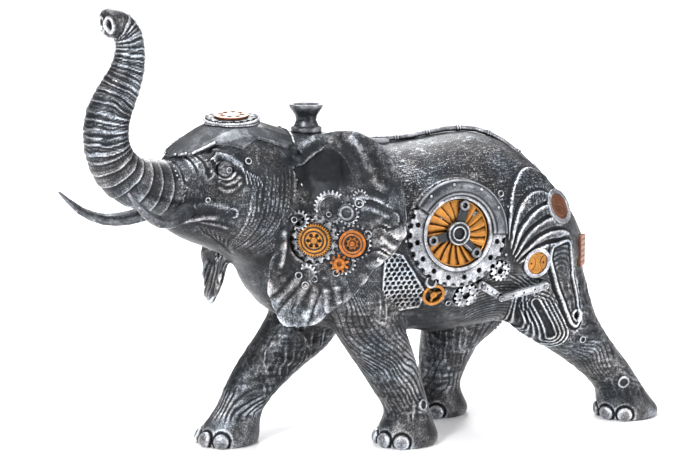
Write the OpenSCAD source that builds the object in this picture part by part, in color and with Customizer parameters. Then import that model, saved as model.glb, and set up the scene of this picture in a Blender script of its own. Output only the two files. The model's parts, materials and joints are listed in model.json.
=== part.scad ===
// Steampunk elephant coin bank. Millimetres, +Z up, trunk towards -X, its left side towards -Y.
// The casting is lofted from a few rings; the clockwork is seated on flats cut into its skin.

/* [Body] */
// Length of the torso, chest to rump
body_len = 240; // [200:1:288]
// Width of the torso across the ribs
body_w = 110; // [92:1:132]
// Height of the belly above the floor
belly_z = 68; // [57:1:81]
// Height of the back above the floor
back_z = 195; // [175:1:225]
// Thickness of the cast wall, outside the seats of the clockwork
wall = 6; // [5:0.5:8]
// Thickness of the flat seats behind the clockwork
seat_t = 4; // [3:0.5:5]

/* [Head] */
// Turn of the head towards its left side, in degrees
head_yaw = 15; // [0:1:20]
// Largest width of the head
head_w = 72; // [62:1:80]
// Spread of the left ear from the line of the head, in degrees
left_ear_spread = 48; // [40:1:60]
// Spread of the right ear from the line of the head, in degrees
right_ear_spread = 82; // [60:1:95]
// Lean of the right ear, its lobe forward, in degrees
right_ear_lean = 10; // [0:1:20]
// Height of an ear
ear_h = 120; // [100:1:144]
// Thickness of an ear
ear_t = 4; // [3:0.5:5]
// Radius of the trunk where it leaves the face
trunk_r = 17; // [14:0.5:19]
// Radius of a tusk at its root
tusk_r = 4.8; // [4:0.2:5.8]
// Roll of the pair of tusks, the left one up, in degrees
tusk_tilt = 6; // [0:1:8]
// Radius of an eyeball
eye_r = 4.6; // [3.8:0.2:5.4]

/* [Flank clockwork] */
// Tip radius of the toothed ring
ring_r = 33; // [27.5:0.5:35]
// Teeth on the toothed ring
ring_teeth = 34; // [24:1:44]
// Radius of the brass fan
fan_r = 21; // [18:0.5:22]
// Radius of the hub in the middle of the fan
hub_r = 7.3; // [6:0.1:8.5]
// Radius of the bore in the hub
hub_bore_r = 3.6; // [2.5:0.1:4.5]
// Tip radius of the idler
idler_r = 6.5; // [5.5:0.5:7.5]
// Tip radius of the lower gear
lower_r = 8.2; // [7:0.2:9]
// Radius of the brass hoop
hoop_r = 7.4; // [6:0.2:8]
// Thickness of each wheel
plate_t = 3; // [2:0.25:4]

/* [Haunch] */
// Radius of the round ring at the hip
hip_r = 9.8; // [8:0.2:11.5]
// Radius of the round ring on the rump
rump_r = 11.6; // [9.5:0.2:13]
// Height of the grille on the rump
grille_h = 20; // [16:1:24]
// Half width of a link of the crank
link_r = 2.6; // [2.2:0.1:3]

/* [Ear clockwork] */
// Tip radius of the large gear plate
ear_plate_r = 14.6; // [12.5:0.2:16]
// Radius of the brass crown wheel
crown_r = 10.2; // [8.5:0.2:11.5]
// Radius of the spoked wheel
spoke_r = 8.2; // [7:0.2:9.5]
// Tip radius of the sun pinion
sun_r = 5.8; // [5:0.2:6.6]
// Radius of the dark dial
dial_r = 5.2; // [4.4:0.2:6]

/* [Back and skull] */
// Diameter of the pipe along the spine
pipe_d = 3.6; // [3:0.2:4.4]
// Height of the chimney
chimney_h = 17; // [14:0.5:20]
// Radius of the chimney's mouth
chimney_r = 10.4; // [8.7:0.2:12]
// Tip radius of the skull gear
skull_gear_r = 15.5; // [13:0.5:17]
// Radius of the copper rosette
rosette_r = 10.5; // [9:0.5:12]

/* [Money] */
// Length of the coin slot
slot_l = 38; // [32:1:42]
// Width of the coin slot
slot_w = 5; // [4.6:0.1:6]
// Distance of the slot from the middle of the back
slot_y = 10; // [9:0.5:12]
// Diameter of the hole for the stopper
stopper_d = 29; // [26:0.5:33]
// Gap all round between the stopper and its hole
stopper_gap = 0.05; // [0.02:0.01:0.1]
// Width of the stopper's flange beyond the hole
flange_w = 2; // [1.5:0.5:3]
// Thickness of the stopper's flange
flange_t = 1.8; // [1.2:0.2:3]

/* [Hidden] */

$fn = 48;

body_h = back_z - belly_z;
chest_x = -75;
floor_shift = [-14.6, -10.8, 0];
skin_n = 2.35;              // squareness of the torso's rings
skin_sides = 30;
cavity_inset = wall + 4;      // the seats of the clockwork need a thicker wall behind them
over = 1;                    // a bore runs this far past the faces it goes through
clear_h = 14;                // a seat's cut clears the skin by this much

steel = "#8b8d92";
dark_steel = "#4c4e53";
brass = "#c08a3e";
copper = "#b06a45";
rubber = "#1c1c1c";

// Smooth curve through a list of vectors, with a few steps from each to the next
function blend4(a, b, c, d, t) =
    0.5 * (2 * b + (c - a) * t + (2 * a - 5 * b + 4 * c - d) * t * t + (3 * b - a - 3 * c + d) * t * t * t);
function smooth(rows, steps) = [
    for (i = [0 : len(rows) - 2], k = [0 : steps - 1])
        blend4(rows[max(i - 1, 0)], rows[i], rows[i + 1], rows[min(i + 2, len(rows) - 1)], k / steps),
    rows[len(rows) - 1]
];
// The same for a closed outline
function smooth_loop(rows, steps) = [
    for (i = [0 : len(rows) - 1], k = [0 : steps - 1])
        blend4(rows[(i + len(rows) - 1) % len(rows)], rows[i], rows[(i + 1) % len(rows)],
               rows[(i + 2) % len(rows)], k / steps)
];
function unit(v) = v / norm(v);

// Closed skin over rings of equal length, with flat ends; each ring runs anticlockwise round the way
// from the first ring to the last
module skin(rings) {
    n = len(rings[0]);
    m = len(rings);
    points = [for (ring = rings, p = ring) p];
    sides = [
        for (j = [0 : m - 2], i = [0 : n - 1], half = [0, 1])
            let (a = j * n + i, b = j * n + (i + 1) % n, c = a + n, d = b + n)
                half == 0 ? [a, d, b] : [a, c, d]
    ];
    ends = [[for (i = [0 : n - 1]) i], [for (i = [n - 1 : -1 : 0]) (m - 1) * n + i]];
    polyhedron(points, concat(sides, ends));
}
// Turns rings that run clockwise
function flip(rings) = [for (r = rings) [for (i = [len(r) - 1 : -1 : 0]) r[i]]];

function signed_pow(v, e) = sign(v) * pow(abs(v), e);
// Upright ring at x, from z0 to z1, with half width w
function upright(x, z0, z1, w, sides, n) = [
    for (i = [0 : sides - 1])
        let (a = 360 * i / sides)
            [x, w * signed_pow(cos(a), 2 / n), (z0 + z1) / 2 + (z1 - z0) / 2 * signed_pow(sin(a), 2 / n)]
];
// Level ring for a leg
function level(r, sides) = [
    for (i = [0 : sides - 1])
        let (a = 360 * i / sides) [r[0] + r[3] * cos(a), r[1] + r[4] * sin(a), r[2]]
];
// Ring of a tube at point k of a path of [x, y, z, radius], kept square to the path
function tube_ring(path, k, sides) =
    let (a = path[max(k - 1, 0)], b = path[min(k + 1, len(path) - 1)],
         t = unit([b[0] - a[0], b[1] - a[1], b[2] - a[2]]),
         side = unit(cross(t, abs(t[1]) > 0.9 ? [0, 0, 1] : [0, 1, 0])),
         up = cross(t, side), c = [path[k][0], path[k][1], path[k][2]], r = path[k][3])
    [for (i = [0 : sides - 1]) let (q = 360 * i / sides) c + r * (cos(q) * side + sin(q) * up)];
module tube(path, sides) {
    skin([for (k = [0 : len(path) - 1]) tube_ring(path, k, sides)]);
}

// ---- Torso ----
// Rings of the torso: place along its length, bottom, top and half width, as shares of its sizes
torso_rows = [
    [0.00, 0.41, 0.74, 0.30], [0.04, 0.25, 0.90, 0.50], [0.11, 0.13, 1.00, 0.64], [0.21, 0.06, 1.03, 0.77],
    [0.31, 0.03, 0.99, 0.88], [0.40, 0.01, 0.95, 0.95], [0.50, 0.00, 0.96, 1.00], [0.60, -0.01, 0.985, 1.00],
    [0.69, 0.00, 0.975, 1.00], [0.77, 0.02, 0.91, 0.98], [0.85, 0.06, 0.79, 0.90], [0.92, 0.13, 0.64, 0.72],
    [0.97, 0.22, 0.50, 0.48], [1.00, 0.31, 0.40, 0.16]
];
torso_line = [
    for (r = smooth(torso_rows, 2))
        [chest_x + r[0] * body_len, belly_z + r[1] * body_h, belly_z + r[2] * body_h, r[3] * body_w / 2]
];
function column(k) = [for (r = torso_line) [r[0], r[k]]];
bottom_line = column(1);
top_line = column(2);
width_line = column(3);
function back_at(x) = lookup(x, top_line);
function belly_at(x) = lookup(x, bottom_line);
// Half width of the torso at a place on its side
function flank_at(x, z) =
    let (z0 = belly_at(x), z1 = back_at(x), q = min(1, abs(z - (z0 + z1) / 2) / ((z1 - z0) / 2)))
        lookup(x, width_line) * pow(1 - pow(q, skin_n), 1 / skin_n);

module torso_skin() {
    skin([for (r = torso_line) upright(r[0], r[1], r[2], r[3], skin_sides, skin_n)]);
}
module cavity() {
    c = cavity_inset;
    rows = [for (r = torso_line) if (r[0] > chest_x + 0.1 * body_len && r[3] > 3 * c) r];
    skin([for (r = rows) upright(r[0], r[1] + c, r[2] - c, r[3] - c - 2, 20, skin_n)]);
}

// Frame on the left flank at x, z: local x runs back along the skin, y up it and z out of it
module on_flank(x, z, side) {
    d = 2;
    slope_x = (flank_at(x + d, z) - flank_at(x - d, z)) / (2 * d);
    slope_z = (flank_at(x, z + d) - flank_at(x, z - d)) / (2 * d);
    w = unit([-slope_x, -1, -slope_z]);
    u = unit([1, 0, 0] - w[0] * w);
    v = cross(w, u);
    p = [x, -flank_at(x, z), z];
    mirror([0, side > 0 ? 1 : 0, 0])
        multmatrix([[u[0], v[0], w[0], p[0]], [u[1], v[1], w[1], p[1]], [u[2], v[2], w[2], p[2]], [0, 0, 0, 1]])
            children();
}
module both() {
    for (side = [-1, 1]) {
        $side = side;
        children();
    }
}

// Seats of the clockwork: place on the flank
wheel_x = chest_x + 0.525 * body_len;
wheel_z = belly_z + 0.545 * body_h;
function around(r, angle) = [wheel_x + r * cos(angle), wheel_z + r * sin(angle)];
wheel_gap = 0.4;             // between the tips of wheels that turn together
idler_at = around(ring_r + idler_r + wheel_gap, -41);
lower_at = around(ring_r + lower_r + wheel_gap, -78);
hoop_at = around(ring_r + hoop_r + wheel_gap, -110);
crank_at = around(ring_r + link_r + 1.2, -62);
elbow_at = crank_at + [15, -10];
rod_at = elbow_at + [30, 6];
hip_at = [rod_at[0] - 6, rod_at[1] + hip_r + link_r + 1.2];
rump_at = [chest_x + 0.84 * body_len, belly_z + 0.625 * body_h];
grille_at = [chest_x + 0.945 * body_len, belly_z + 0.375 * body_h];
links_at = [elbow_at[0] + 2, elbow_at[1] + 3];
wheel_sink = 3;
small_sink = 1.4;
ring_in_r = fan_r + 0.4;
grille_w = 12;

// A flat seat: its floor stands "sink" below the skin and its bed reaches down to the casting
module bed(r, sink, deep) {
    translate([0, 0, -sink - deep]) cylinder(r = r, h = deep);
}
module cut(r, sink) {
    translate([0, 0, -sink]) cylinder(r = r, h = sink + clear_h);
}
module flank_beds(side) {
    on_flank(wheel_x, wheel_z, side) bed(ring_r + 1.2, wheel_sink, seat_t + 3);
    on_flank(hip_at[0], hip_at[1], side) bed(hip_r + 0.8, small_sink, seat_t);
    on_flank(rump_at[0], rump_at[1], side) bed(rump_r + 0.8, small_sink, seat_t);
    on_flank(idler_at[0], idler_at[1], side) bed(idler_r + 0.4, small_sink + 1, seat_t);
    on_flank(lower_at[0], lower_at[1], side) bed(lower_r + 0.4, small_sink + 1, seat_t);
    on_flank(hoop_at[0], hoop_at[1], side) bed(hoop_r + 0.4, small_sink + 1, seat_t);
}
module flank_cuts(side) {
    on_flank(wheel_x, wheel_z, side) cut(ring_r + 0.6, wheel_sink);
    on_flank(hip_at[0], hip_at[1], side) cut(hip_r + 0.2, small_sink);
    on_flank(rump_at[0], rump_at[1], side) cut(rump_r + 0.2, small_sink);
    on_flank(idler_at[0], idler_at[1], side) cut(idler_r + 0.2, small_sink + 1);
    on_flank(lower_at[0], lower_at[1], side) cut(lower_r + 0.2, small_sink + 1);
    on_flank(hoop_at[0], hoop_at[1], side) cut(hoop_r + 0.2, small_sink + 1);
    grille_cut(side);
    link_frame(side) for (p = link_points) translate([p[0], p[1], -pin_in]) cylinder(r = pin_r, h = 20);
}

// Stopper in the belly
stopper_x = chest_x + 0.56 * body_len;
stopper_z = belly_at(stopper_x) + 2.2;
plug_h = wall + 4;
hole_r = stopper_d / 2;
flange_gap = 0.5;
slot_x = stopper_x;
chimney_x = chest_x + 0.2 * body_len;
chimney_z = back_at(chimney_x) - 0.6;
chimney_foot_r = 9.6;
clamp_x = chest_x + 0.40 * body_len;
cap_x = chest_x + 0.865 * body_len;

module torso_shell() color(steel) place() {
    difference() {
        union() {
            torso_skin();
            both() flank_beds($side);
        }
        cavity();
        both() flank_cuts($side);
        translate([stopper_x, 0, stopper_z - 5]) cylinder(r = hole_r, h = 40);
        translate([stopper_x, 0, stopper_z - 20]) cylinder(r = hole_r + flange_w + flange_gap, h = 20);
        translate([slot_x - slot_l / 2, slot_y - slot_w / 2, back_z - 40]) cube([slot_l, slot_w, 60]);
        translate([chimney_x, 0, chimney_z]) cylinder(r = chimney_foot_r, h = 30);
        clamp_seat(clamp_x, clamp_l, clamp_w) cube([clamp_l, clamp_w, 20]);
        clamp_seat(cap_x, cap_l, clamp_w) cube([cap_l, clamp_w, 20]);
        translate(neck) rotate([0, 0, head_yaw]) both() ear_plate_room($side);
    }
}

module place() translate(floor_shift) children();

// ---- Legs ----
// Rows of a leg: x from the hip, y from the middle, height as a share of the belly, half length, half width
front_hip_x = chest_x + 0.3125 * body_len;
rear_hip_x = chest_x + 0.81 * body_len;
track = 0.51 * body_w / 2;
thigh_y = track * 0.93;
inner_y = track * 0.68;      // the striding front foot swings in under the chest
left_front_rows = [
    [29, track, 0.00, 19.5, 18], [29, track, 0.06, 21, 19.5], [29.5, track, 0.17, 18, 17],
    [29.5, track, 0.32, 14.6, 14.4], [24, track, 0.50, 16, 15.5], [17, track, 0.72, 18.5, 18],
    [6, thigh_y, 1.05, 22.5, 21], [-4, thigh_y, 1.38, 25, 22], [-10, thigh_y, 1.75, 22, 19]
];
right_front_rows = [
    [-74, inner_y, 0.00, 19, 18], [-74, inner_y, 0.06, 20.5, 19.5], [-71, inner_y, 0.17, 18, 17],
    [-65, inner_y + 1, 0.31, 15.8, 14.4], [-55.5, inner_y + 3, 0.49, 18.5, 15.5], [-43, inner_y + 5, 0.67, 23, 18],
    [-28, thigh_y, 0.86, 27.5, 20], [-16, thigh_y, 1.15, 26, 22], [-12, thigh_y, 1.65, 23, 19]
];
left_rear_rows = [
    [73, track, 0.00, 20, 18], [73, track, 0.06, 22, 19.5], [70, track, 0.17, 19, 17],
    [65, track, 0.32, 16.6, 14.4], [51, track, 0.55, 19.4, 16], [34, track, 0.77, 24, 19],
    [13, track, 1.06, 32, 22], [6, thigh_y, 1.40, 33, 20], [4, thigh_y, 1.75, 28, 18]
];
right_rear_rows = [
    [-39, track, 0.00, 18, 18], [-39, track, 0.06, 19.5, 19.5], [-39.5, track, 0.17, 17, 17],
    [-39.5, track, 0.30, 14.6, 14.4], [-36, track, 0.50, 17, 15.5], [-31, track, 0.70, 21, 18],
    [-21, track, 0.90, 29, 22], [-11, thigh_y, 1.25, 31, 20], [-8, thigh_y, 1.65, 28, 18]
];
module leg(rows, hip_x, side) color(steel) place() {
    difference() {
        skin([for (r = smooth(rows, 2)) level([hip_x + r[0], side * r[1], belly_z * r[2], r[3], r[4]], 20)]);
        torso_skin();
        grille_cut(side);
    }
}
module front_left_leg() leg(left_front_rows, front_hip_x, -1);
module front_right_leg() leg(right_front_rows, front_hip_x, 1);
module rear_left_leg() leg(left_rear_rows, rear_hip_x, -1);
module rear_right_leg() leg(right_rear_rows, rear_hip_x, 1);

// ---- Head ----
neck = [chest_x + 30, 0, belly_z + 0.764 * body_h];
module head_place() place() translate(neck) rotate([0, 0, head_yaw]) children();
module torso_in_head() rotate([0, 0, -head_yaw]) translate(-neck) torso_skin();
// Rings of the head, from the neck to the lip: x, bottom, top and half width as a share
head_rows = [
    [24, -56, 24, 0.62], [8, -66, 32, 0.86], [-10, -64, 38, 1.00], [-24, -53, 42.5, 1.00], [-38, -41, 43.5, 0.95],
    [-52, -34, 40.5, 0.87], [-66, -28, 34, 0.74], [-76, -23, 28.5, 0.60], [-84, -17, 22, 0.44], [-87, -12, 16, 0.30]
];
head_line = smooth(head_rows, 2);
module head_skin(grow = 0) {
    skin(flip([for (r = head_line) upright(r[0], r[1] - grow, r[2] + grow, r[3] * head_w / 2 + grow, 28, 2.2)]));
}
eye_at = [-59.5, -0.36 * head_w, 18.5];
module eyeballs() {
    for (side = [-1, 1]) translate([eye_at[0], -side * eye_at[1], eye_at[2]]) sphere(r = eye_r);
}
module head() color(steel) head_place() {
    difference() {
        head_skin();
        torso_in_head();
        eyeballs();
        both() ear_plate_room($side);
    }
}
module eyes() color(dark_steel) head_place() eyeballs();

// Trunk: x and z in the middle plane of the head, and radius as a share
trunk_rows = [
    [-68, 4, 1.02], [-86, 7, 1.00], [-104, 11.7, 0.90], [-115, 18, 0.85], [-122, 28, 0.81], [-124.6, 40, 0.785],
    [-122.5, 53, 0.765], [-116, 65, 0.69], [-110, 75.5, 0.60], [-107.2, 86, 0.53], [-107.3, 94.5, 0.49],
    [-110.5, 101.5, 0.48], [-116.5, 105.2, 0.49], [-123, 105, 0.50]
];
trunk_path = [for (r = smooth(trunk_rows, 2)) [r[0], 0, r[1], r[2] * trunk_r]];
module trunk() color(steel) head_place() {
    difference() {
        tube(trunk_path, 24);
        head_skin();
        tusk_skin(-1);
        tusk_skin(1);
    }
}
// Tusk of the right side, and its mirror
tusk_rows = [
    [-74, 13, -4, 1], [-84, 18, -7.5, 1], [-96, 24.5, -10.5, 0.94], [-109, 30.5, -10, 0.78], [-122, 35.5, -3.5, 0.55],
    [-134, 38.5, 9, 0.18]
];
module tusk_skin(side) {
    rotate([-tusk_tilt, 0, 0])
        tube([for (r = smooth(tusk_rows, 2)) [r[0], side * r[1], r[2], r[3] * tusk_r]], 12);
}
module tusk(side) color(dark_steel) head_place() {
    difference() {
        tusk_skin(side);
        head_skin();
    }
}
module left_tusk() tusk(-1);
module right_tusk() tusk(1);

// ---- Ears ----
// Outline of an ear seen from its front: back from its root, up, and how far it stands forward
ear_rows = [
    [-14, 24, -5], [-5, 34, -4], [10, 39, -1], [27, 38, 2], [41, 30, 3], [50, 15, 2], [54, -3, 1], [54, -22, 0],
    [47, -35, -2], [35, -45, -1], [25, -59, 2], [12, -69, 5], [-3, -79, 10], [-18, -78, 14], [-27, -62, 15],
    [-27, -40, 14], [-19, -14, 10], [-17, 6, 2]
];
ear_mid = [12, -24, 0];
ear_hinge = [-3, -0.58 * head_w, 0];
ear_scale = ear_h / 120;
ear_loop = [for (p = smooth_loop(ear_rows, 2)) [p[0] * ear_scale, p[1] * ear_scale, p[2]]];
function ear_point(p, s, lift) = [
    ear_mid[0] + s * (p[0] - ear_mid[0]), ear_mid[1] + s * (p[1] - ear_mid[1]), p[2] * s * s + lift
];
ear_steps = [0.05, 0.3, 0.55, 0.8, 0.95];
ear_half = ear_t / 2;
module ear_skin() {
    skin(flip(concat(
        [for (s = ear_steps) [for (p = ear_loop) ear_point(p, s, -ear_half)]],
        [[for (p = ear_loop) ear_point(p, 1, -ear_half * 0.4)], [for (p = ear_loop) ear_point(p, 1, ear_half * 0.4)]],
        [for (k = [len(ear_steps) - 1 : -1 : 0]) [for (p = ear_loop) ear_point(p, ear_steps[k], ear_half)]]
    )));
}
module ear_place(side) head_place() ear_frame(side) children();
// Frame of an ear: x back from its root, y up, z out of its front
module ear_frame(side) {
    spread = side < 0 ? left_ear_spread : right_ear_spread;
    lean = side < 0 ? 0 : right_ear_lean;
    mirror([0, side > 0 ? 1 : 0, 0]) translate(ear_hinge) rotate([0, 0, -spread]) rotate([90 - lean, 0, 0]) children();
}
ear_floor = ear_half + 0.9;
plate_at = [-1, -27];
ear_gap = 0.3;
spoke_at = plate_at + (ear_plate_r + spoke_r + ear_gap) * [cos(-4), sin(-4)];
sun_at = plate_at + (ear_plate_r + sun_r + ear_gap) * [cos(-43), sin(-43)];
dial_at = plate_at + (ear_plate_r + dial_r + 6) * [cos(41), sin(41)];
ear_plate_t = 1.6;
ear_wheel_t = 1.8;
module ear_seats(h) {
    translate([plate_at[0], plate_at[1], 0]) cylinder(r = ear_plate_r + 0.2, h = h);
    translate([spoke_at[0], spoke_at[1], 0]) cylinder(r = spoke_r + 0.2, h = h);
    translate([sun_at[0], sun_at[1], 0]) cylinder(r = sun_r + 0.2, h = h);
    translate([dial_at[0], dial_at[1], 0]) cylinder(r = dial_r + 0.2, h = h);
}
// Room for the large plate where the cheek or the shoulder would reach into it
module ear_plate_room(side) {
    ear_frame(side) translate([plate_at[0], plate_at[1], ear_floor]) cylinder(r = ear_plate_r + 0.2, h = 5);
}
module ear(side) color(steel) {
    head_place() difference() {
        ear_frame(side) difference() {
            union() {
                ear_skin();
                ear_seats(ear_floor);
            }
            translate([0, 0, ear_floor]) ear_seats(12);
        }
        head_skin();
        torso_in_head();
    }
}
module left_ear() ear(-1);
module right_ear() ear(1);

module on_ear(side, at, lift) {
    ear_place(side) translate([at[0], at[1], ear_floor + lift]) children();
}
module ear_plate(side) color(steel) on_ear(side, plate_at, 0) {
    difference() {
        linear_extrude(ear_plate_t) polygon(toothed(18, ear_plate_r - 1.8, ear_plate_r));
        for (k = [0 : 11]) rotate(30 * k) translate([ear_plate_r - 3, 0, -over])
            cylinder(r = 0.7, h = ear_plate_t + 2 * over, $fn = 16);
    }
}
module crown_wheel(side) color(brass) on_ear(side, plate_at, ear_plate_t) {
    difference() {
        linear_extrude(ear_wheel_t) polygon(toothed(40, crown_r - 1, crown_r));
        translate([0, 0, 0.8]) cylinder(r = 6.2, h = 5);
    }
    translate([0, 0, 0.8]) difference() {
        cylinder(r = 5.6, h = 1.6);
        for (k = [0 : 5]) rotate(60 * k) translate([3.6, 0, -over])
            cylinder(r = 1.2, h = ear_wheel_t + 2 * over, $fn = 16);
    }
}
module spoked_wheel(side) color(copper) on_ear(side, spoke_at, 0) {
    difference() {
        cylinder(r = spoke_r, h = 1.4);
        for (k = [0 : 7]) rotate(45 * k) translate([spoke_r * 0.5, 0, 0.6]) cylinder(r = 1.1, h = 5, $fn = 16);
    }
    translate([0, 0, 1.4]) ring(spoke_r * 0.72, spoke_r, 0.9);
}
module sun_pinion(side) color(copper) on_ear(side, sun_at, 0) {
    linear_extrude(1.6) polygon(toothed(9, sun_r - 1.9, sun_r));
    translate([0, 0, 1.6]) ring(1.6, sun_r * 0.6, 0.9);
}
module left_ear_plate() ear_plate(-1);
module right_ear_plate() ear_plate(1);
module left_crown_wheel() crown_wheel(-1);
module right_crown_wheel() crown_wheel(1);
module left_spoked_wheel() spoked_wheel(-1);
module right_spoked_wheel() spoked_wheel(1);
module left_sun_pinion() sun_pinion(-1);
module right_sun_pinion() sun_pinion(1);
module ear_dials() color(dark_steel) both() on_ear($side, dial_at, 0) {
    cylinder(r = dial_r, h = 1.2);
    translate([0, 0, 1.2]) ring(dial_r * 0.6, dial_r * 0.85, 0.8);
}

// ---- Shared wheel shapes ----
function toothed(n, root, tip) = [
    for (i = [0 : n - 1], q = [[0.05, root], [0.22, tip], [0.5, tip], [0.67, root]])
        let (a = 360 * (i + q[0]) / n) q[1] * [cos(a), sin(a)]
];
module ring(r0, r1, h) difference() {
    cylinder(r = r1, h = h);
    translate([0, 0, -over]) cylinder(r = r0, h = h + 2 * over);
}
// Sector of a disc, from one angle to another
function sector(r, a0, a1) = concat([[0, 0]], [for (k = [0 : 12]) let (a = a0 + (a1 - a0) * k / 12) r * [cos(a), sin(a)]]);

// ---- Flank clockwork ----
module on_skin(at, side) place() on_flank(at[0], at[1], side) children();
module on_wheel(side, lift) on_skin([wheel_x, wheel_z], side) translate([0, 0, lift - wheel_sink]) children();

module ring_gear(side) color(steel) on_wheel(side, 0) {
    difference() {
        union() {
            linear_extrude(plate_t) polygon(toothed(ring_teeth, ring_r - 1.9, ring_r));
            cylinder(r = ring_in_r + 2.2, h = plate_t + 0.8);
        }
        translate([0, 0, -over]) cylinder(r = ring_in_r, h = plate_t + 4 * over);
        for (k = [0 : 15]) rotate(22.5 * k + 8) translate([(ring_r + ring_in_r) / 2 + 0.6, 0, -over])
            cylinder(r = 1.7, h = plate_t + 3, $fn = 20);
    }
}
fan_blades = 18;
module fan(side) color(brass) on_wheel(side, 0) {
    difference() {
        union() {
            cylinder(r = fan_r, h = 1.2);
            for (k = [0 : fan_blades - 1]) rotate(360 * k / fan_blades)
                translate([hub_r + 1, -0.4, 1.2]) cube([fan_r - hub_r - 2, 0.8, 0.6]);
        }
        translate([0, 0, -over]) cylinder(r = hub_r + 0.1, h = plate_t + 3 * over);
    }
}
arm_angles = [75, 191, 313];
arm_t = 1.8;
module spider(side) color(steel) on_wheel(side, 0) {
    difference() {
        union() {
            cylinder(r = hub_r, h = plate_t + 2);
            for (a = arm_angles) rotate(a) translate([0, 0, 1.9]) {
                linear_extrude(arm_t) polygon([[0, -3.2], [fan_r - 3, -2], [fan_r - 3, 2], [0, 3.2]]);
                translate([fan_r - 3.4, 0, 0]) cylinder(r = 3.1, h = arm_t + 0.7);
            }
        }
        translate([0, 0, -over]) cylinder(r = hub_bore_r, h = plate_t + 6 * over);
        for (a = arm_angles) rotate(a) translate([fan_r - 3.4, 0, 2.6]) cylinder(r = 1.7, h = 6, $fn = 20);
    }
}
arch_from = -4;
arch_to = 146;
module guard_arch(side) color(steel) on_wheel(side, plate_t) {
    intersection() {
        ring(ring_in_r + 2.4, ring_r + 0.4, 2.6);
        translate([0, 0, -over]) linear_extrude(plate_t + 3 * over)
            polygon(sector(ring_r * 1.4, arch_from, arch_to));
    }
}
module small_gear(at, side, n, r, bore) color(steel) on_skin(at, side)
    translate([0, 0, -small_sink - 1]) difference() {
        linear_extrude(plate_t) polygon(toothed(n, r - 1.3, r));
        translate([0, 0, 1]) cylinder(r = bore, h = 6);
        for (k = [0 : 4]) rotate(72 * k) translate([(r - 1.3 + bore) / 2, 0, 1]) cylinder(r = 0.8, h = 6, $fn = 16);
    }
module brass_hoop(side) color(brass) on_skin(hoop_at, side)
    translate([0, 0, -small_sink - 1]) {
        ring(hoop_r - 1.8, hoop_r, plate_t);
        for (k = [0 : 2]) rotate(120 * k + 20) translate([1.2, -0.8, 0]) cube([hoop_r - 2.4, 1.6, plate_t - 0.8]);
        cylinder(r = 2.2, h = plate_t);
    }
module left_ring_gear() ring_gear(-1);
module right_ring_gear() ring_gear(1);
module left_fan() fan(-1);
module right_fan() fan(1);
module left_spider() spider(-1);
module right_spider() spider(1);
module left_guard_arch() guard_arch(-1);
module right_guard_arch() guard_arch(1);
module left_idler_gear() small_gear(idler_at, -1, 12, idler_r, 2);
module right_idler_gear() small_gear(idler_at, 1, 12, idler_r, 2);
module left_lower_gear() small_gear(lower_at, -1, 14, lower_r, 2.6);
module right_lower_gear() small_gear(lower_at, 1, 14, lower_r, 2.6);
module left_brass_hoop() brass_hoop(-1);
module right_brass_hoop() brass_hoop(1);

// ---- Crank links: two flat links pinned together, standing on three pins ----
pin_r = 1.3;
pin_in = 6;
link_lift = 1.6;
link_t = 1.8;
module link_frame(side) on_flank(links_at[0], links_at[1], side) children();
link_points = [for (p = [crank_at, elbow_at, rod_at]) [p[0] - links_at[0], p[1] - links_at[1]]];
module link(a, b, side, lift) color(steel) place() link_frame(side) translate([0, 0, link_lift + lift]) {
    d = b - a;
    difference() {
        hull() {
            translate([a[0], a[1], 0]) cylinder(r = link_r, h = link_t, $fn = 24);
            translate([b[0], b[1], 0]) cylinder(r = link_r * 0.8, h = link_t, $fn = 24);
        }
        for (p = [a, b]) translate([p[0], p[1], -over]) cylinder(r = pin_r, h = link_t + 2 * over);
        for (k = [1 : 3]) translate([a[0] + d[0] * k / 4, a[1] + d[1] * k / 4, link_t / 2])
            cylinder(r = 0.7, h = link_t, $fn = 16);
    }
}
module left_crank_link() link(link_points[0], link_points[1], -1, 0);
module right_crank_link() link(link_points[0], link_points[1], 1, 0);
module left_rod_link() link(link_points[2], link_points[1], -1, link_t);
module right_rod_link() link(link_points[2], link_points[1], 1, link_t);
module link_pins() color(dark_steel) place() both() link_frame($side) for (p = link_points)
    translate([p[0], p[1], -pin_in]) cylinder(r = pin_r, h = pin_in + link_lift + 2 * link_t + 0.6);

// ---- Haunch and rump ----
insert_share = 0.74;
module badge_ring(at, r, side) on_skin(at, side) translate([0, 0, -small_sink]) ring(r * insert_share, r, 3);
module badge_insert(at, r, side) on_skin(at, side) translate([0, 0, -small_sink]) difference() {
    cylinder(r = r * insert_share, h = 2.2);
    for (s = [-1, 1]) translate([s * r * 0.45, 0, 1.2]) cylinder(r = 0.8, h = 4, $fn = 16);
}
module hip_rings() color(steel) both() badge_ring(hip_at, hip_r, $side);
module hip_inserts() color(brass) both() badge_insert(hip_at, hip_r, $side);
module rump_rings() color(steel) both() badge_ring(rump_at, rump_r, $side);
module rump_inserts() color(copper) both() badge_insert(rump_at, rump_r, $side);

module grille_block(grow, h) {
    translate([-grille_w / 2 - grow, -grille_h / 2 - grow, -1.6]) cube([grille_w + 2 * grow, grille_h + 2 * grow, h]);
}
module grille_cut(side) {
    on_flank(grille_at[0], grille_at[1], side) grille_block(0.1, clear_h);
}
module rump_grilles() color(copper) both() on_skin(grille_at, $side) difference() {
    grille_block(0, 2.4);
    for (i = [-1 : 1], j = [-2 : 2]) translate([i * 3.4, j * 3.6, -0.4]) cylinder(r = 0.9, h = 6, $fn = 16);
}

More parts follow.
